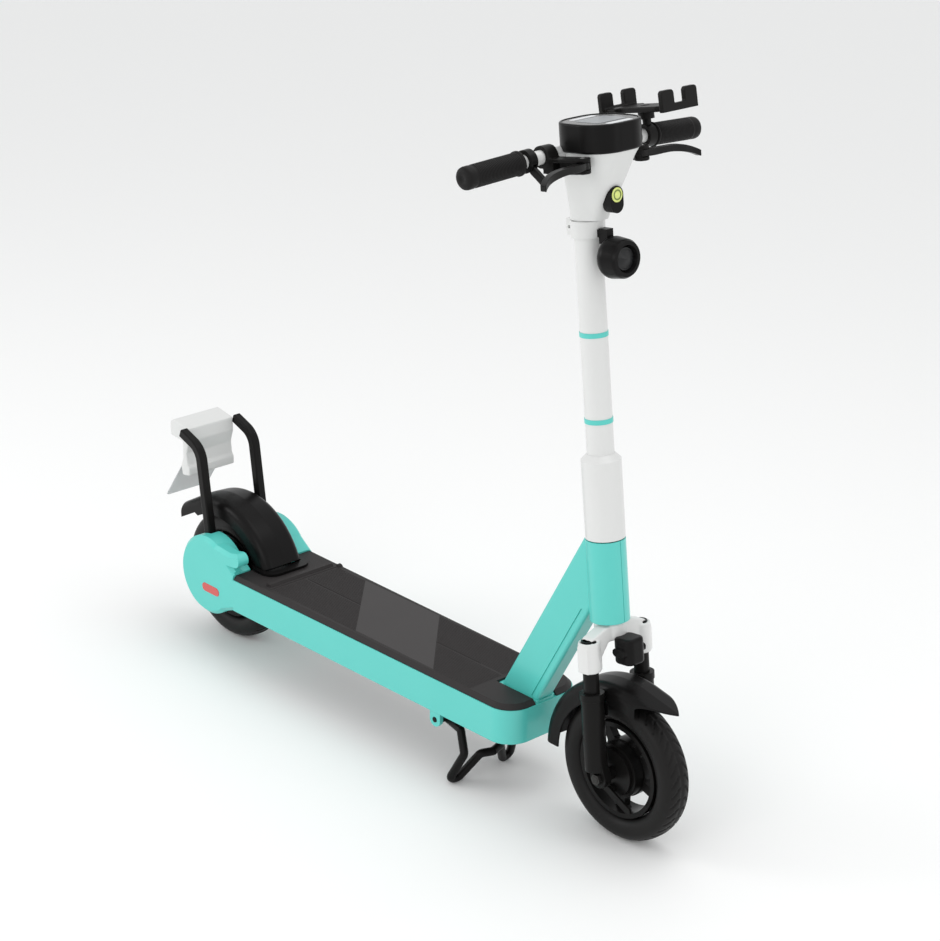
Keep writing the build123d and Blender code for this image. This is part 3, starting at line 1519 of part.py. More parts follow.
def tyre_section(width):
    """Tyre carcass section on its rim; y is the distance from the axle."""
    half = width / 2
    height = tyre_radius - rim_radius
    with BuildLine() as section:
        Polyline((-rim_half + 2, rim_radius), (rim_half - 2, rim_radius))
        Spline(
            (rim_half - 2, rim_radius),
            (half, rim_radius + height * tyre_widest),
            (half - 9, rim_radius + height * tyre_shoulder),
            (0, tyre_radius),
            (-half + 9, rim_radius + height * tyre_shoulder),
            (-half, rim_radius + height * tyre_widest),
            (-rim_half + 2, rim_radius),
        )
    make_face(section.edges())


def air_section(width):
    """Air space inside the tyre."""
    half = width / 2
    height = tyre_radius - rim_radius
    with BuildLine() as section:
        Polyline((-rim_half + 6, rim_radius), (rim_half - 6, rim_radius))
        Spline(
            (rim_half - 6, rim_radius),
            (half - 5, rim_radius + height * 0.46),
            (half - 13, rim_radius + height * 0.72),
            (0, rim_radius + height * 0.81),
            (-half + 13, rim_radius + height * 0.72),
            (-half + 5, rim_radius + height * 0.46),
            (-rim_half + 6, rim_radius),
        )
    make_face(section.edges())


def build_tyre(x):
    with BuildPart() as tyre:
        with BuildSketch(spoke_plane(x, axle_z, 90)):
            tyre_section(tyre_width)
        revolve(axis=axle_axis(x, axle_z))
        with BuildSketch(spoke_plane(x, axle_z, 90)):
            air_section(tyre_width)
        revolve(axis=axle_axis(x, axle_z), mode=Mode.SUBTRACT)
    return tyre


bearing_outer = 14.0
bearing_width = 8.0

with BuildPart() as front_wheel:
    with BuildSketch(Plane.XZ.offset(rim_half)):
        with Locations((front_x, axle_z)):
            Circle(rim_radius)
            Circle(rim_radius - 8, mode=Mode.SUBTRACT)
    extrude(amount=-2 * rim_half)
    with BuildSketch(Plane.XZ.offset(spoke_half)):
        with Locations((front_x, axle_z)):
            Circle(rim_radius - 6)
    extrude(amount=-2 * spoke_half)
    # windows between the spokes
    window_inner = drum_radius + 2
    window_outer = rim_radius - 8
    with BuildSketch(Plane.XZ.offset(spoke_half)) as windows:
        with Locations((front_x, axle_z)):
            Circle(window_outer)
            Circle(window_inner, mode=Mode.SUBTRACT)
            with PolarLocations((window_inner + window_outer) / 2, spoke_count, start_angle=first_spoke):
                Rectangle(window_outer - window_inner + 12, spoke_width, mode=Mode.SUBTRACT)
        fillet(windows.vertices(), 5)
    extrude(amount=-2 * spoke_half, mode=Mode.SUBTRACT)
    with BuildSketch(Plane.XZ.offset(drum_half)):
        with Locations((front_x, axle_z)):
            Circle(drum_radius)
    extrude(amount=-2 * drum_half)
    chamfer(faces().sort_by(Axis.Y)[-1].edges(), 3)
    # brake drum cavity, open to the right
    with BuildSketch(Plane.XZ.offset(drum_half)):
        with Locations((front_x, axle_z)):
            Circle(drum_bore)
    extrude(amount=-drum_cavity, mode=Mode.SUBTRACT)
    with BuildSketch(Plane.XZ.offset(drum_half)):
        with Locations((front_x, axle_z)):
            Circle(bearing_outer)
    extrude(amount=-2 * drum_half, mode=Mode.SUBTRACT)
write(front_wheel, "front_wheel")
write(build_tyre(front_x), "front_tyre")

with BuildPart() as front_wheel_bearings:
    for side in (-drum_half + drum_cavity + bearing_width, drum_half - 1):
        with BuildSketch(Plane.XZ.offset(-side)):
            with Locations((front_x, axle_z)):
                Circle(bearing_outer)
                Circle(axle_radius + slip_gap, mode=Mode.SUBTRACT)
        extrude(amount=bearing_width)
write(front_wheel_bearings, "front_wheel_bearings")

with BuildPart() as rear_wheel:
    with BuildSketch(Plane.XZ.offset(rim_half)):
        with Locations((rear_x, axle_z)):
            Circle(rim_radius)
    extrude(amount=-2 * rim_half)
    with BuildSketch(Plane.XZ.offset(motor_half)):
        with Locations((rear_x, axle_z)):
            Circle(motor_radius)
    extrude(amount=-2 * motor_half)
    chamfer(faces().sort_by(Axis.Y)[-1].edges() + faces().sort_by(Axis.Y)[0].edges(), 5)
    with BuildSketch(Plane.XZ.offset(stator_half + 4)):
        with Locations((rear_x, axle_z)):
            Circle(stator_radius + 3)
    extrude(amount=-2 * (stator_half + 4), mode=Mode.SUBTRACT)
    with BuildSketch(Plane.XZ.offset(motor_half + 1)):
        with Locations((rear_x, axle_z)):
            Circle(rear_axle_radius + slip_gap)
    extrude(amount=-2 * (motor_half + 1), mode=Mode.SUBTRACT)
write(rear_wheel, "rear_wheel")
write(build_tyre(rear_x), "rear_tyre")
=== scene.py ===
import json
import math

import bmesh
import bpy
from mathutils import Matrix, Vector


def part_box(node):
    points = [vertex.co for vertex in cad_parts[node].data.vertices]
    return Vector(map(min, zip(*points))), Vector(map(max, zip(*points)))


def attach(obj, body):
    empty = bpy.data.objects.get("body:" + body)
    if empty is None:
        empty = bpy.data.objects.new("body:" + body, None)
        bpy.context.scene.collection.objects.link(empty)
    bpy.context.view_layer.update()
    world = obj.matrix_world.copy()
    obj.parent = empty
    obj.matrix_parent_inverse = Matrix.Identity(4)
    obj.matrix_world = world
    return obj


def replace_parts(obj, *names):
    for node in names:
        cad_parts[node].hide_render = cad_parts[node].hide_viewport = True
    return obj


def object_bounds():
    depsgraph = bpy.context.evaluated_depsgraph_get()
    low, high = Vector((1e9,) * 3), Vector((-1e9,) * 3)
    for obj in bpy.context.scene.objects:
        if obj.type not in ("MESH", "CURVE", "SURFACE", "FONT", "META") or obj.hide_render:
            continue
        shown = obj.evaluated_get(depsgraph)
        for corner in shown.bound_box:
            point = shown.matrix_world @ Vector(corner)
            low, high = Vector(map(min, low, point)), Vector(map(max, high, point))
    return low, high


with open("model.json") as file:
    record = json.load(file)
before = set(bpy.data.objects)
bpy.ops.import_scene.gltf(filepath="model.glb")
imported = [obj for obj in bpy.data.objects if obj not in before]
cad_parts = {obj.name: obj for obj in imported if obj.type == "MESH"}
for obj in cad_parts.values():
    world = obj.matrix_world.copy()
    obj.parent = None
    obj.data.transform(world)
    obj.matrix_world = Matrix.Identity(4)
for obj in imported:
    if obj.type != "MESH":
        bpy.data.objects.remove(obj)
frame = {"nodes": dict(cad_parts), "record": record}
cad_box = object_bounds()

# The studio: a pale sweep of floor, soft light from overhead and from both sides,
# and a camera a little above the bars that looks down past the rider's right-hand side.
scene = bpy.context.scene
scene.view_settings.view_transform = "Standard"
scene.view_settings.look = "None"

box_middle_x = (cad_box[0][0] + cad_box[1][0]) / 2
camera_place = Vector((box_middle_x + 2.9486, -2.6145, 2.0539))
camera_yaw = math.radians(136.93)
camera_pitch = math.radians(-21.62)
camera_roll = math.radians(0.80)
sight = Vector((
    math.cos(camera_yaw) * math.cos(camera_pitch),
    math.sin(camera_yaw) * math.cos(camera_pitch),
    math.sin(camera_pitch),
))
level_right = sight.cross(Vector((0, 0, 1))).normalized()
level_up = level_right.cross(sight)
right = math.cos(camera_roll) * level_right + math.sin(camera_roll) * level_up
up = math.cos(camera_roll) * level_up - math.sin(camera_roll) * level_right
camera_data = bpy.data.cameras.new("studio_camera")
camera_data.lens = 92.66
camera_data.sensor_width = 36.0
camera_data.clip_end = 50
camera = bpy.data.objects.new("studio_camera", camera_data)
scene.collection.objects.link(camera)
camera.matrix_world = Matrix((
    (right.x, up.x, -sight.x, camera_place.x),
    (right.y, up.y, -sight.y, camera_place.y),
    (right.z, up.z, -sight.z, camera_place.z),
    (0, 0, 0, 1),
))
scene.camera = camera

world = bpy.data.worlds.new("studio_air")
world.use_nodes = True
world.node_tree.nodes["Background"].inputs["Color"].default_value = (0.99, 0.995, 1.0, 1)
world.node_tree.nodes["Background"].inputs["Strength"].default_value = 0.84
scene.world = world

soft_boxes = {
    "top_light": ((0.5, 0.5, 3.0), (0.0, 0.0, 0.2), 1.8, 14),
    "right_light": ((1.1, -3.0, 2.0), (0.0, 0.0, 0.5), 1.5, 14),
    "front_light": ((3.2, 0.9, 1.6), (0.3, 0.0, 0.6), 1.0, 5),
    "rear_light": ((-2.6, -2.4, 1.8), (0.0, 0.0, 0.5), 1.4, 22),
}
for light_name, (place, target, size, power) in soft_boxes.items():
    light_data = bpy.data.lights.new(light_name, "AREA")
    light_data.size = size
    light_data.energy = power
    light = bpy.data.objects.new(light_name, light_data)
    light.location = place
    light.rotation_euler = (Vector(target) - Vector(place)).to_track_quat("-Z", "Y").to_euler()
    scene.collection.objects.link(light)

floor_mesh = bpy.data.meshes.new("studio_floor")
floor_reach = 60.0
floor_mesh.from_pydata(
    [(-floor_reach, -floor_reach, 0), (floor_reach, -floor_reach, 0),
     (floor_reach, floor_reach, 0), (-floor_reach, floor_reach, 0)],
    [],
    [(0, 1, 2, 3)],
)
floor = bpy.data.objects.new("studio_floor", floor_mesh)
scene.collection.objects.link(floor)
floor_paint = bpy.data.materials.new("studio_paper")
floor_paint.use_nodes = True
floor_shader = floor_paint.node_tree.nodes["Principled BSDF"]
floor_shader.inputs["Base Color"].default_value = (0.965, 0.968, 0.962, 1)
floor_shader.inputs["Roughness"].default_value = 0.6
floor_shader.inputs["Specular IOR Level"].default_value = 0.2
floor_mesh.materials.append(floor_paint)


# Deck shell: an alloy box section, wet painted in teal, closed below by a black sheet
# that ten small screws hold. Its edges are broken, and the paint shows faint orange peel.
def new_group(name, inputs, outputs):
    """Empty shader node group with these (name, socket type, default) inputs and outputs."""
    group = bpy.data.node_groups.new(name, "ShaderNodeTree")
    for socket_name, kind, value in inputs:
        socket = group.interface.new_socket(socket_name, in_out="INPUT", socket_type=kind)
        socket.default_value = value
    for socket_name, kind in outputs:
        group.interface.new_socket(socket_name, in_out="OUTPUT", socket_type=kind)
    return group


def surface_finish_group():
    """Colour that drifts a little, fine grain for the bump, and roughness that drifts with the colour."""
    group = new_group(
        "surface_finish",
        [("Colour", "NodeSocketColor", (0.5, 0.5, 0.5, 1)),
         ("Worn Colour", "NodeSocketColor", (0.4, 0.4, 0.4, 1)),
         ("Mottle", "NodeSocketFloat", 0.3),
         ("Roughness", "NodeSocketFloat", 0.4),
         ("Roughness Drift", "NodeSocketFloat", 0.1),
         ("Grain Scale", "NodeSocketFloat", 600.0),
         ("Scratch", "NodeSocketFloat", 0.1)],
        [("Colour", "NodeSocketColor"), ("Roughness", "NodeSocketFloat"), ("Height", "NodeSocketFloat")],
    )
    nodes, links = group.nodes, group.links
    entry = nodes.new("NodeGroupInput")
    leave = nodes.new("NodeGroupOutput")
    place = nodes.new("ShaderNodeTexCoord")

    drift = nodes.new("ShaderNodeTexNoise")
    drift.inputs["Scale"].default_value = 9.0
    drift.inputs["Detail"].default_value = 4.0
    links.new(place.outputs["Object"], drift.inputs["Vector"])
    share = nodes.new("ShaderNodeMath")
    share.operation = "MULTIPLY"
    links.new(drift.outputs["Fac"], share.inputs[0])
    links.new(entry.outputs["Mottle"], share.inputs[1])
    tint = nodes.new("ShaderNodeMix")
    tint.data_type = "RGBA"
    links.new(share.outputs[0], tint.inputs["Factor"])
    links.new(entry.outputs["Colour"], tint.inputs["A"])
    links.new(entry.outputs["Worn Colour"], tint.inputs["B"])

    stretch = nodes.new("ShaderNodeMapping")
    stretch.inputs["Scale"].default_value = (40.0, 900.0, 900.0)
    links.new(place.outputs["Object"], stretch.inputs["Vector"])
    scratches = nodes.new("ShaderNodeTexNoise")
    scratches.inputs["Scale"].default_value = 1.0
    scratches.inputs["Detail"].default_value = 2.0
    links.new(stretch.outputs["Vector"], scratches.inputs["Vector"])
    thin = nodes.new("ShaderNodeMapRange")
    thin.inputs["From Min"].default_value = 0.68
    thin.inputs["From Max"].default_value = 0.78
    links.new(scratches.outputs["Fac"], thin.inputs["Value"])
    scratch_share = nodes.new("ShaderNodeMath")
    scratch_share.operation = "MULTIPLY"
    links.new(thin.outputs["Result"], scratch_share.inputs[0])
    links.new(entry.outputs["Scratch"], scratch_share.inputs[1])
    scuffed = nodes.new("ShaderNodeMix")
    scuffed.data_type = "RGBA"
    links.new(scratch_share.outputs[0], scuffed.inputs["Factor"])
    links.new(tint.outputs["Result"], scuffed.inputs["A"])
    links.new(entry.outputs["Worn Colour"], scuffed.inputs["B"])
    links.new(scuffed.outputs["Result"], leave.inputs["Colour"])

    centred = nodes.new("ShaderNodeMath")
    centred.operation = "SUBTRACT"
    centred.inputs[1].default_value = 0.5
    links.new(drift.outputs["Fac"], centred.inputs[0])
    swing = nodes.new("ShaderNodeMath")
    swing.operation = "MULTIPLY"
    links.new(centred.outputs[0], swing.inputs[0])
    links.new(entry.outputs["Roughness Drift"], swing.inputs[1])
    rough = nodes.new("ShaderNodeMath")
    rough.operation = "ADD"
    rough.use_clamp = True
    links.new(swing.outputs[0], rough.inputs[0])
    links.new(entry.outputs["Roughness"], rough.inputs[1])
    links.new(rough.outputs[0], leave.inputs["Roughness"])

    grain = nodes.new("ShaderNodeTexNoise")
    grain.inputs["Detail"].default_value = 3.0
    links.new(place.outputs["Object"], grain.inputs["Vector"])
    links.new(entry.outputs["Grain Scale"], grain.inputs["Scale"])
    links.new(grain.outputs["Fac"], leave.inputs["Height"])
    return group


surface_finish = surface_finish_group()


def finished(name, colour, worn, roughness, mottle=0.3, drift=0.12, grain=600.0, bump=0.05, scratch=0.0,
             metallic=0.0, coat=0.0, sheen=0.0, transmission=0.0, specular=0.5):
    """Material whose colour, roughness and grain come from the surface finish group."""
    material = bpy.data.materials.new(name)
    material.use_nodes = True
    nodes, links = material.node_tree.nodes, material.node_tree.links
    shader = nodes["Principled BSDF"]
    shader.inputs["Metallic"].default_value = metallic
    shader.inputs["Coat Weight"].default_value = coat
    shader.inputs["Coat Roughness"].default_value = 0.12
    shader.inputs["Sheen Weight"].default_value = sheen
    shader.inputs["Transmission Weight"].default_value = transmission
    shader.inputs["Specular IOR Level"].default_value = specular
    finish = nodes.new("ShaderNodeGroup")
    finish.node_tree = surface_finish
    finish.inputs["Colour"].default_value = (*colour, 1)
    finish.inputs["Worn Colour"].default_value = (*worn, 1)
    finish.inputs["Mottle"].default_value = mottle
    finish.inputs["Roughness"].default_value = roughness
    finish.inputs["Roughness Drift"].default_value = drift
    finish.inputs["Grain Scale"].default_value = grain
    finish.inputs["Scratch"].default_value = scratch
    relief = nodes.new("ShaderNodeBump")
    relief.inputs["Strength"].default_value = bump
    relief.inputs["Distance"].default_value = 0.0006
    links.new(finish.outputs["Colour"], shader.inputs["Base Color"])
    links.new(finish.outputs["Roughness"], shader.inputs["Roughness"])
    links.new(finish.outputs["Height"], relief.inputs["Height"])
    links.new(relief.outputs["Normal"], shader.inputs["Normal"])
    return material


def mesh_from(work, name):
    """Turns a working mesh into a finished one of this name."""
    mesh = bpy.data.meshes.new(name)
    work.to_mesh(mesh)
    work.free()
    return mesh


def node_shape(node):
    """Working mesh of a node, with its facets joined at their corners."""
    work = bmesh.new()
    work.from_mesh(frame["nodes"][node].data)
    bmesh.ops.remove_doubles(work, verts=work.verts, dist=1e-6)
    return work


def new_piece(name, mesh, body, material):
    """Puts a finished mesh in the scene and fixes it to a body."""
    piece = bpy.data.objects.new(name, mesh)
    scene.collection.objects.link(piece)
    mesh.materials.clear()
    mesh.materials.append(material)
    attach(piece, body)
    return piece


def soften(piece, width, segments=2, angle=32):
    """Rounds a piece's hard edges and evens out the shading across them."""
    edge = piece.modifiers.new("broken_edge", "BEVEL")
    edge.width = width
    edge.segments = segments
    edge.limit_method = "ANGLE"
    edge.angle_limit = math.radians(angle)
    edge.use_clamp_overlap = True
    edge.harden_normals = False
    even = piece.modifiers.new("even_shading", "WEIGHTED_NORMAL")
    even.keep_sharp = False
    piece.data.shade_smooth()


def rounded_copy(node, body, material, width=0.0008, segments=2, angle=32):
    """The engineering shape of a node, with its edges rounded as a paint shop leaves them."""
    work = node_shape(node)
    bmesh.ops.dissolve_limit(
        work, angle_limit=math.radians(0.5), verts=work.verts, edges=work.edges, use_dissolve_boundaries=False
    )
    name = node + "_finished"
    piece = new_piece(name, mesh_from(work, name), body, material)
    soften(piece, width, segments, angle)
    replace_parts(piece, node)
    return piece


def cast_copy(node, body, material, voxel, passes):
    """A node's shape with the full, soft radii of a casting or a thick moulding."""
    name = node + "_finished"
    piece = new_piece(name, mesh_from(node_shape(node), name), body, material)
    skin = piece.modifiers.new("even_skin", "REMESH")
    skin.mode = "VOXEL"
    skin.voxel_size = voxel
    skin.use_smooth_shade = True
    relax = piece.modifiers.new("full_radii", "SMOOTH")
    relax.factor = 0.5
    relax.iterations = passes
    piece.data.shade_smooth()
    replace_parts(piece, node)


teal_colour = (0.105, 0.62, 0.56)
teal_shade = (0.080, 0.56, 0.50)
teal_paint = finished("teal_paint", teal_colour, teal_shade, 0.34, mottle=0.5,
                      grain=420, bump=0.05, coat=0.25)
black_sheet = finished("black_sheet", (0.02, 0.02, 0.02), (0.05, 0.05, 0.05), 0.45,
                       grain=900, bump=0.1, scratch=0.2)
zinc = finished("zinc_plate", (0.62, 0.62, 0.6), (0.4, 0.4, 0.4), 0.32, grain=900, bump=0.05, metallic=1.0)
rounded_copy("deck_shell", "frame", teal_paint, 0.0012, 3)
rounded_copy("bottom_cover", "frame", black_sheet, 0.0006)
rounded_copy("bottom_cover_screws", "frame", zinc, 0.0003)

# Battery pack and controller: a shrink-wrapped cell pack and a finned alloy case.
# Both lie inside the deck and are only seen with the bottom cover off.
cell_wrap = finished("cell_wrap", (0.02, 0.05, 0.14), (0.03, 0.03, 0.05), 0.3, grain=300, bump=0.2)
cast_alloy = finished("cast_alloy", (0.55, 0.55, 0.55), (0.35, 0.35, 0.35), 0.4,
                      grain=1200, bump=0.25, metallic=1.0)
rounded_copy("battery_pack", "frame", cell_wrap, 0.002)
rounded_copy("motor_controller", "frame", cast_alloy, 0.0006)

# Neck frame: the down tube and the head tube, welded alloy in the same teal.
# The pressed-in headset bearings are ground steel.
rounded_copy("neck_frame", "frame", teal_paint, 0.0010, 3)
rounded_copy("headset_bearings", "frame", zinc, 0.0005)

# Deck mat: one rubber moulding with a bevelled border. Fine ribs give grip at both ends,
# a smooth slanted panel lies between them, and a low ridge crosses the mat behind the rear ribs.
mat_black = finished("mat_rubber", (0.021, 0.0185, 0.0185), (0.032, 0.028, 0.028), 0.58, mottle=0.8,
                     grain=700, bump=0.25, specular=0.25)
mat_panel = finished("mat_panel", (0.035, 0.0315, 0.0315), (0.045, 0.041, 0.041), 0.50, mottle=0.6,
                     grain=900, bump=0.15, specular=0.3)
rounded_copy("deck_mat", "frame", mat_black, 0.0012, 3)
mat_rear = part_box("deck_mat")[0][0]
neck_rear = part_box("neck_frame")[0][0]
mat_top = 0.1845
let_in = 0.0003                     # how far ribs and panel are let into the mat
rib_half = 0.078
rib_pitch = 0.0040
rib_width = 0.0016
rib_height = 0.0006
groove_half = 0.0014
panel_slant = -1.0                  # how far the panel's ends run forward for each metre to the left
panel_start = -0.137                # where the panel's ends cross the middle of the mat
panel_end = 0.071
panel_height = 0.0005
panel_margin = 0.001
ribs_start = mat_rear + 0.101
ribs_end = neck_rear - 0.010


def add_block(work, low, high, taper, slant_back=0.0, slant_front=0.0):
    """Adds one small block to a mesh; its top is drawn in by the taper, and its ends may slant."""
    corners = []
    for z, draw in ((low[2], 0.0), (high[2], taper)):
        back, front = low[0] + draw, high[0] - draw
        right_side, left_side = low[1] + draw, high[1] - draw
        for x, y, slant in ((back, right_side, slant_back), (front, right_side, slant_front),
                            (front, left_side, slant_front), (back, left_side, slant_back)):
            corners.append(work.verts.new((x + y * slant, y, z)))
    for face in ((3, 2, 1, 0), (4, 5, 6, 7), (0, 1, 5, 4), (1, 2, 6, 5), (2, 3, 7, 6), (3, 0, 4, 7)):
        work.faces.new([corners[i] for i in face])


ribs = bmesh.new()
for index in range(int(2 * rib_half / rib_pitch)):
    y = -rib_half + index * rib_pitch
    if abs(y + rib_width / 2) < groove_half + rib_width / 2:
        continue
    for back, front, slant_back, slant_front in (
        (ribs_start, panel_start - panel_margin, 0.0, panel_slant),
        (panel_end + panel_margin, ribs_end, panel_slant, 0.0),
    ):
        add_block(ribs, (back, y, mat_top - let_in), (front, y + rib_width, mat_top + rib_height), 0.0004,
                  slant_back, slant_front)
new_piece("mat_ribs", mesh_from(ribs, "mat_ribs"), "frame", mat_black)

panel = bmesh.new()
add_block(panel, (panel_start, -rib_half, mat_top - let_in), (panel_end, rib_half, mat_top + panel_height),
          0.0006, panel_slant, panel_slant)
new_piece("mat_smooth_panel", mesh_from(panel, "mat_smooth_panel"), "frame", mat_panel)

ridge_rear = mat_rear + 0.0915
ridge_reach = 0.088
ridge_foot = mat_top - 0.0015
ridge = bmesh.new()
add_block(ridge, (ridge_rear, -ridge_reach, ridge_foot),
          (ridge_rear + 0.006, ridge_reach, mat_top + 0.0012), 0.0014)
add_block(ridge, (ridge_rear - 0.001, ridge_reach - 0.010, ridge_foot),
          (ridge_rear + 0.009, ridge_reach + 0.002, mat_top + 0.0042), 0.0024)
mat_ridge = new_piece("mat_ridge", mesh_from(ridge, "mat_ridge"), "frame", mat_black)
soften(mat_ridge, 0.0005, 3)

# Rear end: teal side housings over the axle plates, each with a red reflector let into it,
# and a black moulded fender over the motor wheel with a lip that rests on the mat.
teal_plastic = finished("teal_plastic", teal_colour, teal_shade, 0.36, mottle=0.5,
                        grain=500, bump=0.06, coat=0.15)
moulded_black = finished("moulded_black", (0.0045, 0.0042, 0.0042), (0.010, 0.0095, 0.0095), 0.30, mottle=0.6,
                         grain=1100, bump=0.10, specular=0.12)
black_coat = finished("black_coat", (0.005, 0.0048, 0.0046), (0.014, 0.013, 0.0125), 0.32, mottle=0.5,
                      grain=900, bump=0.08, scratch=0.1, specular=0.12)
for side in ("right", "left"):
    rounded_copy("rear_housing_" + side, "frame", teal_plastic, 0.0022, 4, 25)
rounded_copy("rear_dropouts", "frame", black_coat, 0.0006)
rounded_copy("rear_axle", "frame", zinc, 0.0006)
rounded_copy("motor_stator", "frame", zinc, 0.0003)
rounded_copy("rear_fender", "frame", moulded_black, 0.0010, 3)


def reflector_red():
    """Red acrylic with fine pyramids moulded on its back."""
    material = finished("reflector_red", (0.62, 0.055, 0.045), (0.5, 0.03, 0.03), 0.22, mottle=0.3,
                        grain=500, bump=0.05, coat=0.6)
    nodes, links = material.node_tree.nodes, material.node_tree.links
    place = nodes.new("ShaderNodeTexCoord")
    prisms = nodes.new("ShaderNodeTexVoronoi")
    prisms.inputs["Scale"].default_value = 380.0
    prisms.inputs["Randomness"].default_value = 0.0
    links.new(place.outputs["Object"], prisms.inputs["Vector"])
    facets = nodes.new("ShaderNodeBump")
    facets.inputs["Strength"].default_value = 0.35
    facets.inputs["Distance"].default_value = 0.0006
    links.new(prisms.outputs["Distance"], facets.inputs["Height"])
    links.new(nodes["Bump"].outputs["Normal"], facets.inputs["Normal"])
    links.new(facets.outputs["Normal"], nodes["Principled BSDF"].inputs["Normal"])
    return material


red_acrylic = reflector_red()
rounded_copy("side_markers", "frame", red_acrylic, 0.0005, 3)
rounded_copy("tail_lamp_lens", "frame", red_acrylic, 0.0008, 3)

# Plate bracket: two black square-section arms carry a white moulding, which holds the tail
# lamp and a blank sheet for the registration plate below it.
white_plastic = finished("white_plastic", (0.72, 0.725, 0.715), (0.66, 0.67, 0.66), 0.42, mottle=0.4,
                         grain=700, bump=0.08)
plate_white = finished("plate_white", (0.68, 0.69, 0.69), (0.52, 0.53, 0.54), 0.30, mottle=0.5,
                       grain=300, bump=0.06, coat=0.2)
rounded_copy("plate_arms", "frame", black_coat, 0.0010, 3)
cast_copy("plate_carrier", "frame", white_plastic, 0.0014, 10)
rounded_copy("number_plate", "frame", plate_white, 0.0006, 3)

# Centre stand: bent steel rod welded to a pivot sleeve, powder coated black.
# Its pin is a plain rod through two lugs, coated black like the stand.
rounded_copy("centre_stand", "centre_stand", black_coat, 0.0005)
rounded_copy("stand_pin", "frame", black_coat, 0.0008, 3)

# Steering column: a steel steerer inside a white painted sleeve and stem, with two teal
# trim bands round the stem and a clamp collar under the head.
white_paint = finished("white_paint", (0.74, 0.745, 0.735), (0.68, 0.68, 0.67), 0.30, mottle=0.4,
                       grain=420, bump=0.05, coat=0.3)
rounded_copy("steerer_tube", "steering", zinc, 0.0005)
rounded_copy("stem_sleeve", "steering", white_paint, 0.0025, 4, 25)
rounded_copy("stem_tube", "steering", white_paint, 0.0005)
rounded_copy("stem_bands", "steering", teal_plastic, 0.0003)
rounded_copy("stem_collar", "steering", white_paint, 0.0012, 3)

# Head case and speed lamp: a white moulded case flares from the stem to the display. Its black
# bezel stands on the front and holds a green-yellow lens, with a dark ring moulded round its middle.
joints = {joint["name"]: joint for joint in frame["record"]["behaviour"]["joints"]}
column_axis = Vector(joints["steering"]["axis"]).normalized()
column_foot = Vector(joints["steering"]["pos_m"])
ahead_axis = Vector((column_axis.z, 0, -column_axis.x))
left_axis = Vector((0, 1, 0))


def on_column(ahead, side, height):
    """Point in metres given ahead of, beside and up along the steering axis."""
    return column_foot + ahead * ahead_axis + side * left_axis + height * column_axis


def draw_in_foot(mesh, core=0.0256, foot_share=0.35, reach_share=0.80, cuts=28):
    """Draws the head case in towards its foot, so that it meets the stem like a funnel."""
    work = bmesh.new()
    work.from_mesh(mesh)
    heights = [(vert.co - column_foot).dot(column_axis) for vert in work.verts]
    foot = min(heights)
    reach = reach_share * (max(heights) - foot)
    planes = []
    for cut in range(1, cuts):
        planes.append((column_foot + (foot + reach * cut / cuts) * column_axis, column_axis))
    for cut in range(cuts):
        turn = math.pi * cut / cuts
        planes.append((column_foot, math.cos(turn) * ahead_axis + math.sin(turn) * left_axis))
    for place, normal in planes:
        bmesh.ops.bisect_plane(work, geom=work.verts[:] + work.edges[:] + work.faces[:], dist=1e-6,
                               plane_co=place, plane_no=normal)
    for vert in work.verts:
        height = (vert.co - column_foot).dot(column_axis)
        on_axis = column_foot + height * column_axis
        radial = vert.co - on_axis
        if radial.length > core and height < foot + reach:
            share = foot_share + (1 - foot_share) * math.sin(math.pi / 2 * (height - foot) / reach)
            vert.co = on_axis + radial * ((core + (radial.length - core) * share) / radial.length)
    work.to_mesh(mesh)
    work.free()


def deepen(mesh, depth):
    """Carries the back of the bezel further into the head case behind it."""
    along = [(vert.co - column_foot).dot(ahead_axis) for vert in mesh.vertices]
    back = min(along) + 0.4 * (max(along) - min(along))
    for vert, place in zip(mesh.vertices, along):
        if place < back:
            vert.co -= depth * ahead_axis


head_case = rounded_copy("stem_head", "steering", white_plastic, 0.0012, 3)
draw_in_foot(head_case.data)
head_case.data.shade_smooth()
bezel = rounded_copy("indicator_bezel", "steering", moulded_black, 0.0010, 3)
deepen(bezel.data, 0.013)


def turned_mesh(name, origin, axis, profile, steps=96, close=False):
    """Mesh turned round an axis from (distance along it, radius) pairs; its poles are closed."""
    axis = axis.normalized()
    across = axis.orthogonal().normalized()
    beyond = axis.cross(across)
    work = bmesh.new()
    rings = []
    for along, radius in profile:
        if radius < 1e-7:
            rings.append([work.verts.new(origin + along * axis)])
            continue
        ring = []
        for step in range(steps):
            turn = 2 * math.pi * step / steps
            spoke = math.cos(turn) * across + math.sin(turn) * beyond
            ring.append(work.verts.new(origin + along * axis + radius * spoke))
        rings.append(ring)
    pairs = list(zip(rings, rings[1:]))
    if close:
        pairs.append((rings[-1], rings[0]))
    for first, second in pairs:
        for step in range(steps):
            following = (step + 1) % steps
            if len(first) == 1 and len(second) > 1:
                work.faces.new((first[0], second[following], second[step]))
            elif len(second) == 1 and len(first) > 1:
                work.faces.new((first[step], first[following], second[0]))
            elif len(first) > 1:
                work.faces.new((first[step], first[following], second[following], second[step]))
    bmesh.ops.recalc_face_normals(work, faces=work.faces)
    mesh = mesh_from(work, name)
    mesh.shade_smooth()
    return mesh


def middle(node):
    """Middle of a node's box at rest."""
    low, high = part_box(node)
    return (Vector(low) + Vector(high)) / 2


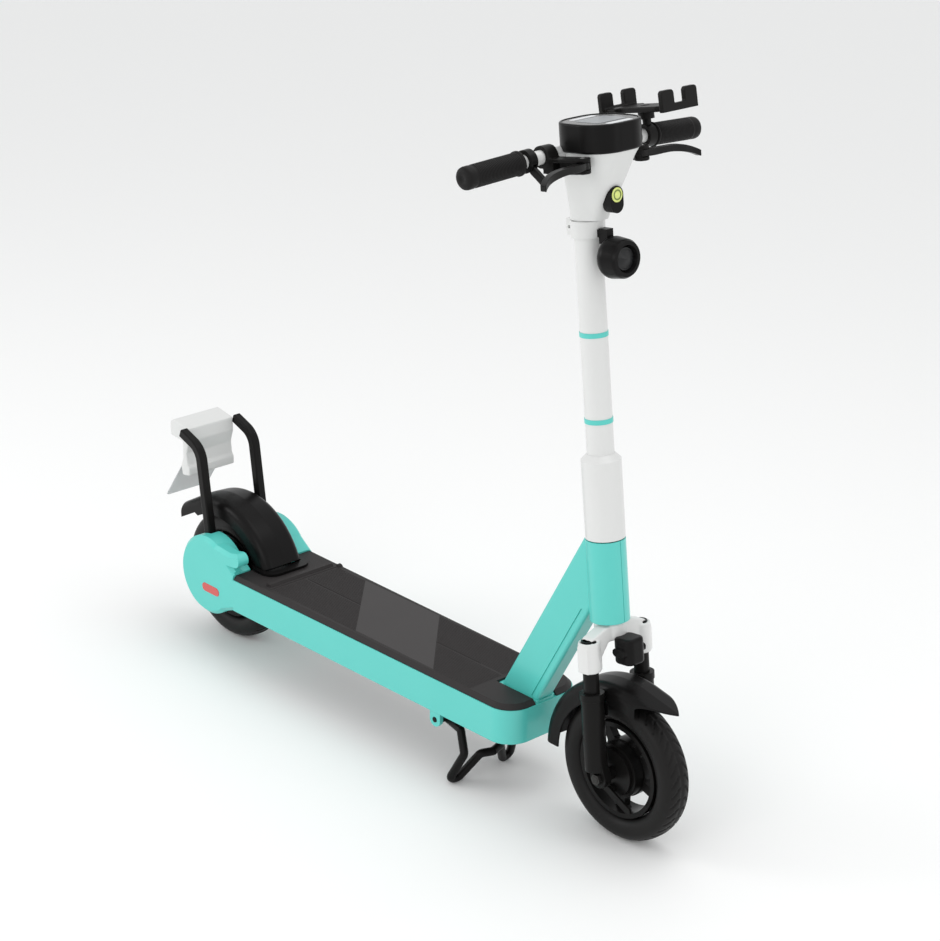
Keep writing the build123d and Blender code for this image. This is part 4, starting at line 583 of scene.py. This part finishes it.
lamp_green = finished("lamp_green", (0.72, 0.80, 0.22), (0.60, 0.70, 0.16), 0.2,
                      grain=500, bump=0.03, coat=0.5)
ring_olive = finished("ring_olive", (0.18, 0.24, 0.05), (0.14, 0.18, 0.04), 0.3, grain=500, bump=0.03)
speed_lens_place = middle("indicator_lens")
speed_lens = turned_mesh("speed_lens", speed_lens_place, ahead_axis, [
    (-0.0022, 0.0), (-0.0022, 0.0117), (0.0012, 0.0117), (0.0019, 0.0110),
    (0.0022, 0.0100), (0.0022, 0.0088), (0.0017, 0.0082), (0.0017, 0.0062),
    (0.0022, 0.0056), (0.0030, 0.0030), (0.0032, 0.0),
])
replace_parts(new_piece("speed_lens", speed_lens, "steering", lamp_green), "indicator_lens")
speed_ring = turned_mesh("speed_ring", speed_lens_place, ahead_axis, [
    (0.0015, 0.0083), (0.0021, 0.0083), (0.0023, 0.0080),
    (0.0023, 0.0064), (0.0021, 0.0061), (0.0015, 0.0061),
], close=True)
new_piece("speed_ring", speed_ring, "steering", ring_olive)

# Handlebar: one white painted alloy tube with a slight droop, closed by the rubber grips.
# The grips are moulded with fine rings between two smooth collars.
rounded_copy("handlebar", "steering", white_paint, 0.0004)
grip_rubber = finished("grip_rubber", (0.007, 0.0066, 0.0066), (0.015, 0.014, 0.014), 0.50, mottle=0.6,
                       grain=1400, bump=0.25, specular=0.15)
bar_height = 1.027
droop = math.radians(2.4)
bend_side = 0.094
bar_end = 0.254
first_ring = 0.0075
ring_pitch = 0.0028
ring_foot = 0.0174
ring_top = 0.0180
plain_length = 0.026                # the part of a grip that has no rings


def bar_point(distance, hand):
    """Point on the drooping outer part of the bar, at this distance from its middle."""
    out = distance - bend_side
    return on_column(0, hand * (bend_side + out * math.cos(droop)), bar_height - out * math.sin(droop))


for side, hand, inner in (("right", -1, 0.139), ("left", 1, 0.151)):
    start = bar_point(inner, hand)
    outward = bar_point(bar_end, hand) - start
    length = outward.length
    outline = [(0.0, 0.0112), (0.0, 0.0190), (0.0008, 0.0196),
               (0.0032, 0.0196), (0.0042, 0.0190), (0.0055, 0.0176)]
    for index in range(int((length - plain_length) / ring_pitch)):
        along = first_ring + index * ring_pitch
        outline += [(along, ring_foot), (along + 0.0004, ring_top),
                    (along + 0.0014, ring_top), (along + 0.0018, ring_foot)]
    outline += [(length - 0.0165, 0.0176), (length - 0.0150, 0.0180), (length - 0.0070, 0.0180),
                (length - 0.0035, 0.0172), (length - 0.0012, 0.0150), (length - 0.0002, 0.0110),
                (length, 0.0060), (length - 0.0010, 0.0045), (length - 0.0010, 0.0)]
    grip = turned_mesh("grip_" + side + "_moulded", start, outward, outline)
    piece = new_piece("grip_" + side + "_moulded", grip, "steering", grip_rubber)
    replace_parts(piece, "grip_" + side)

# Controls: forged brake levers on clamped perches, a finger throttle beside the right grip,
# and a switch pod with the horn button beside the left one.
lever_black = finished("lever_black", (0.005, 0.0048, 0.0048), (0.018, 0.017, 0.016), 0.28, mottle=0.4,
                       grain=700, bump=0.05, scratch=0.15, specular=0.2)
cast_copy("brake_perches", "steering", black_coat, 0.0010, 8)
rounded_copy("lever_pins", "steering", zinc, 0.0004)
rounded_copy("throttle_body", "steering", moulded_black, 0.0008, 3)
rounded_copy("switch_pod", "steering", moulded_black, 0.0012, 3)
for side in ("right", "left"):
    cast_copy("brake_lever_" + side, "brake_lever_" + side, lever_black, 0.0007, 12)
cast_copy("throttle_paddle", "throttle_paddle", moulded_black, 0.0007, 6)
rounded_copy("horn_button", "horn_button", moulded_black, 0.0004, 2)

# Display: a rounded black housing over the bar with a glossy lid let into its top.
# Under the lid lie a grey screen and a pale label field at each end, both left blank.
rounded_copy("display_housing", "steering", moulded_black, 0.0008, 3, 40)
lid_black = finished("lid_black", (0.012, 0.012, 0.013), (0.02, 0.02, 0.02), 0.22,
                     grain=300, bump=0.01, coat=0.2)
screen_grey = finished("screen_grey", (0.22, 0.235, 0.25), (0.17, 0.185, 0.20), 0.3,
                       grain=300, bump=0.01, coat=0.15)
label_white = finished("label_white", (0.72, 0.74, 0.76), (0.6, 0.62, 0.64), 0.3,
                       grain=300, bump=0.02, coat=0.3)
rounded_copy("display_face", "steering", lid_black, 0.0006, 3)


lid_top = 1.073
let_into_lid = 0.0004
corner_steps = 8


def flat_pad(name, middle_ahead, length, width, corner, proud, material):
    """Thin rounded pad let into the lid, square to the steering axis."""
    work = bmesh.new()
    outline = []
    for along, side, start in ((1, 1, 0), (-1, 1, 90), (-1, -1, 180), (1, -1, 270)):
        for step in range(corner_steps + 1):
            turn = math.radians(start + step * 90 / corner_steps)
            outline.append((middle_ahead + along * (length / 2 - corner) + corner * math.cos(turn),
                            side * (width / 2 - corner) + corner * math.sin(turn)))
    lower = [work.verts.new(on_column(x, y, lid_top - let_into_lid)) for x, y in outline]
    upper = [work.verts.new(on_column(x, y, lid_top + proud)) for x, y in outline]
    work.faces.new(upper)
    work.faces.new(lower[::-1])
    for index in range(len(outline)):
        following = (index + 1) % len(outline)
        work.faces.new((lower[index], lower[following], upper[following], upper[index]))
    bmesh.ops.recalc_face_normals(work, faces=work.faces)
    soften(new_piece(name, mesh_from(work, name), "steering", material), 0.0003)


flat_pad("display_screen", 0.041, 0.050, 0.064, 0.006, 0.0005, screen_grey)
flat_pad("display_label_front", 0.080, 0.012, 0.052, 0.004, 0.0004, label_white)
flat_pad("display_label_rear", 0.002, 0.010, 0.052, 0.004, 0.0004, label_white)

# Phone holder: a clamp on the bar, a swivelling tray with two fixed fingers, and a sprung jaw.
# It is glass-filled nylon, with ribs under the tray.
nylon_black = finished("nylon_black", (0.006, 0.0056, 0.0056), (0.014, 0.013, 0.012), 0.42, mottle=0.6,
                       grain=900, bump=0.2, specular=0.15)
rounded_copy("phone_clamp", "steering", nylon_black, 0.0010, 3)
cast_copy("phone_cradle", "phone_cradle", nylon_black, 0.0010, 6)
cast_copy("phone_jaw", "phone_jaw", nylon_black, 0.0009, 6)

# Headlight: a turned black housing with a deep hood, hung from the stem collar.
# A smoked domed lens covers the reflector bowl.
rounded_copy("headlight_housing", "steering", moulded_black, 0.0008, 3, 30)
lens_smoked = finished("lens_smoked", (0.010, 0.0105, 0.0115), (0.007, 0.0075, 0.008), 0.10, mottle=0.1,
                       drift=0.02, grain=200, bump=0.02, transmission=0.3, specular=0.35)
bright_bowl = finished("bright_bowl", (0.06, 0.06, 0.063), (0.04, 0.04, 0.043), 0.2,
                       grain=300, bump=0.02, metallic=1.0)
lens_middle = middle("headlight_lens")
bowl = turned_mesh("headlight_bowl", lens_middle, ahead_axis, [
    (-0.0019, 0.0), (-0.0019, 0.0060), (-0.0010, 0.0120),
    (-0.0002, 0.0186), (-0.0021, 0.0186), (-0.0021, 0.0),
])
new_piece("headlight_bowl", bowl, "steering", bright_bowl)
lens_radius = 0.0188
lens_rings = 7
lens_ring_pitch = 0.0024
lens_outline = [(0.0, 0.0), (0.0, 0.0185), (0.0014, lens_radius)]
for index in range(lens_rings):
    radius = 0.0176 - index * lens_ring_pitch
    height = 0.0016 + 0.0022 * (1 - (radius / lens_radius) ** 2)
    lens_outline += [(height, radius), (height + 0.0003, radius - 0.0012), (height, radius - 0.0022)]
lens_outline.append((0.0038, 0.0))
lens = turned_mesh("headlight_dome", lens_middle, ahead_axis, lens_outline)
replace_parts(new_piece("headlight_dome", lens, "steering", lens_smoked), "headlight_lens")

# Fork: a cast white crown over two black stanchions, which slide in the black lower legs
# on steel springs. The horn sits in front of the crown.
cast_copy("fork_crown", "steering", white_paint, 0.0012, 22)
cast_copy("horn", "steering", moulded_black, 0.0010, 10)
rounded_copy("fork_stanchions", "steering", black_coat, 0.0005)
rounded_copy("fork_lower_legs", "fork_lower", black_coat, 0.0014, 3)
rounded_copy("front_fender", "fork_lower", moulded_black, 0.0010, 3)
dark_steel = finished("dark_steel", (0.05, 0.048, 0.046), (0.03, 0.03, 0.03), 0.38,
                      grain=900, bump=0.05, metallic=0.9)
rounded_copy("front_axle", "fork_lower", dark_steel, 0.0006)
rounded_copy("brake_plate", "fork_lower", black_coat, 0.0008, 3)
frame["nodes"]["fork_springs"].data.materials.clear()
frame["nodes"]["fork_springs"].data.materials.append(zinc)

# Wheels: the front one is a cast five-spoke wheel with a drum, the rear one a hub motor
# shell. Both are painted satin black.
rounded_copy("front_wheel", "front_wheel", black_coat, 0.0014, 3)
rounded_copy("front_wheel_bearings", "front_wheel", zinc, 0.0005)
rounded_copy("rear_wheel", "rear_wheel", black_coat, 0.0014, 3)

# Tyres: air-filled road tyres with smooth side walls. Slanted sipes cut the shoulders
# of the tread, and one groove runs round its middle.
tyre_black = finished("tyre_black", (0.006, 0.0057, 0.0057), (0.014, 0.013, 0.0125), 0.45, mottle=0.8,
                      grain=900, bump=0.25, specular=0.18)
tyre_steps = 600
sipe_count = 40
tread_half = 0.021
tread_edge = 0.002
tread_radius = 0.110
sipe_depth = 0.0018
sipe_slant = 0.016
sipe_share = 0.10
sipe_inner = 0.006
centre_groove_half = 0.0016
tyre_half_width = 0.0280
tyre_middle_radius = 0.1055
tyre_half_height = 0.0215
tyre_squareness = 2.35
bead_angle = 62                     # how far past the middle each side wall reaches, in degrees
outline_steps = 60


def tyre_outline():
    """Half-width and radius pairs round the outside of the tyre, from bead to bead."""
    points = []
    power = 2 / tyre_squareness
    for step in range(outline_steps + 1):
        turn = math.radians(-bead_angle + step * (180 + 2 * bead_angle) / outline_steps)
        across = -math.cos(turn)
        along = math.sin(turn)
        y = tyre_half_width * math.copysign(abs(across) ** power, across)
        radius = tyre_middle_radius + tyre_half_height * math.copysign(abs(along) ** power, along)
        points.append((y, radius))
    return points


def tread_cut(y, turn):
    """How deep the tread is cut at this place, in metres."""
    edge = min(1.0, max(0.0, (tread_half - abs(y)) / tread_edge))
    if edge == 0.0:
        return 0.0
    phase = (turn * sipe_count / (2 * math.pi) + abs(y) / sipe_slant) % 1.0
    from_sipe = min(phase, 1 - phase)
    sipe = 1.0 if from_sipe < sipe_share and abs(y) > sipe_inner else 0.0
    centre = 1.0 if abs(y) < centre_groove_half else 0.0
    return sipe_depth * edge * max(sipe, centre)


def tyre_mesh(name, hub):
    """One treaded tyre round this hub, closed from bead to bead."""
    work = bmesh.new()
    outline = tyre_outline()
    rings = []
    for step in range(tyre_steps):
        turn = 2 * math.pi * step / tyre_steps
        ring = []
        for y, radius in outline:
            reach = radius - (tread_cut(y, turn) if radius > tread_radius else 0.0)
            ahead, above = reach * math.cos(turn), reach * math.sin(turn)
            ring.append(work.verts.new((hub.x + ahead, hub.y + y, hub.z + above)))
        rings.append(ring)
    for step in range(tyre_steps):
        ring, following = rings[step], rings[(step + 1) % tyre_steps]
        for index in range(len(outline)):
            beside = (index + 1) % len(outline)
            work.faces.new((ring[index], ring[beside], following[beside], following[index]))
    bmesh.ops.recalc_face_normals(work, faces=work.faces)
    mesh = mesh_from(work, name)
    mesh.shade_smooth()
    return mesh


for end in ("front", "rear"):
    hub = middle(end + "_tyre")
    name = end + "_tyre_treaded"
    piece = new_piece(name, tyre_mesh(name, hub), end + "_wheel", tyre_black)
    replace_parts(piece, end + "_tyre")
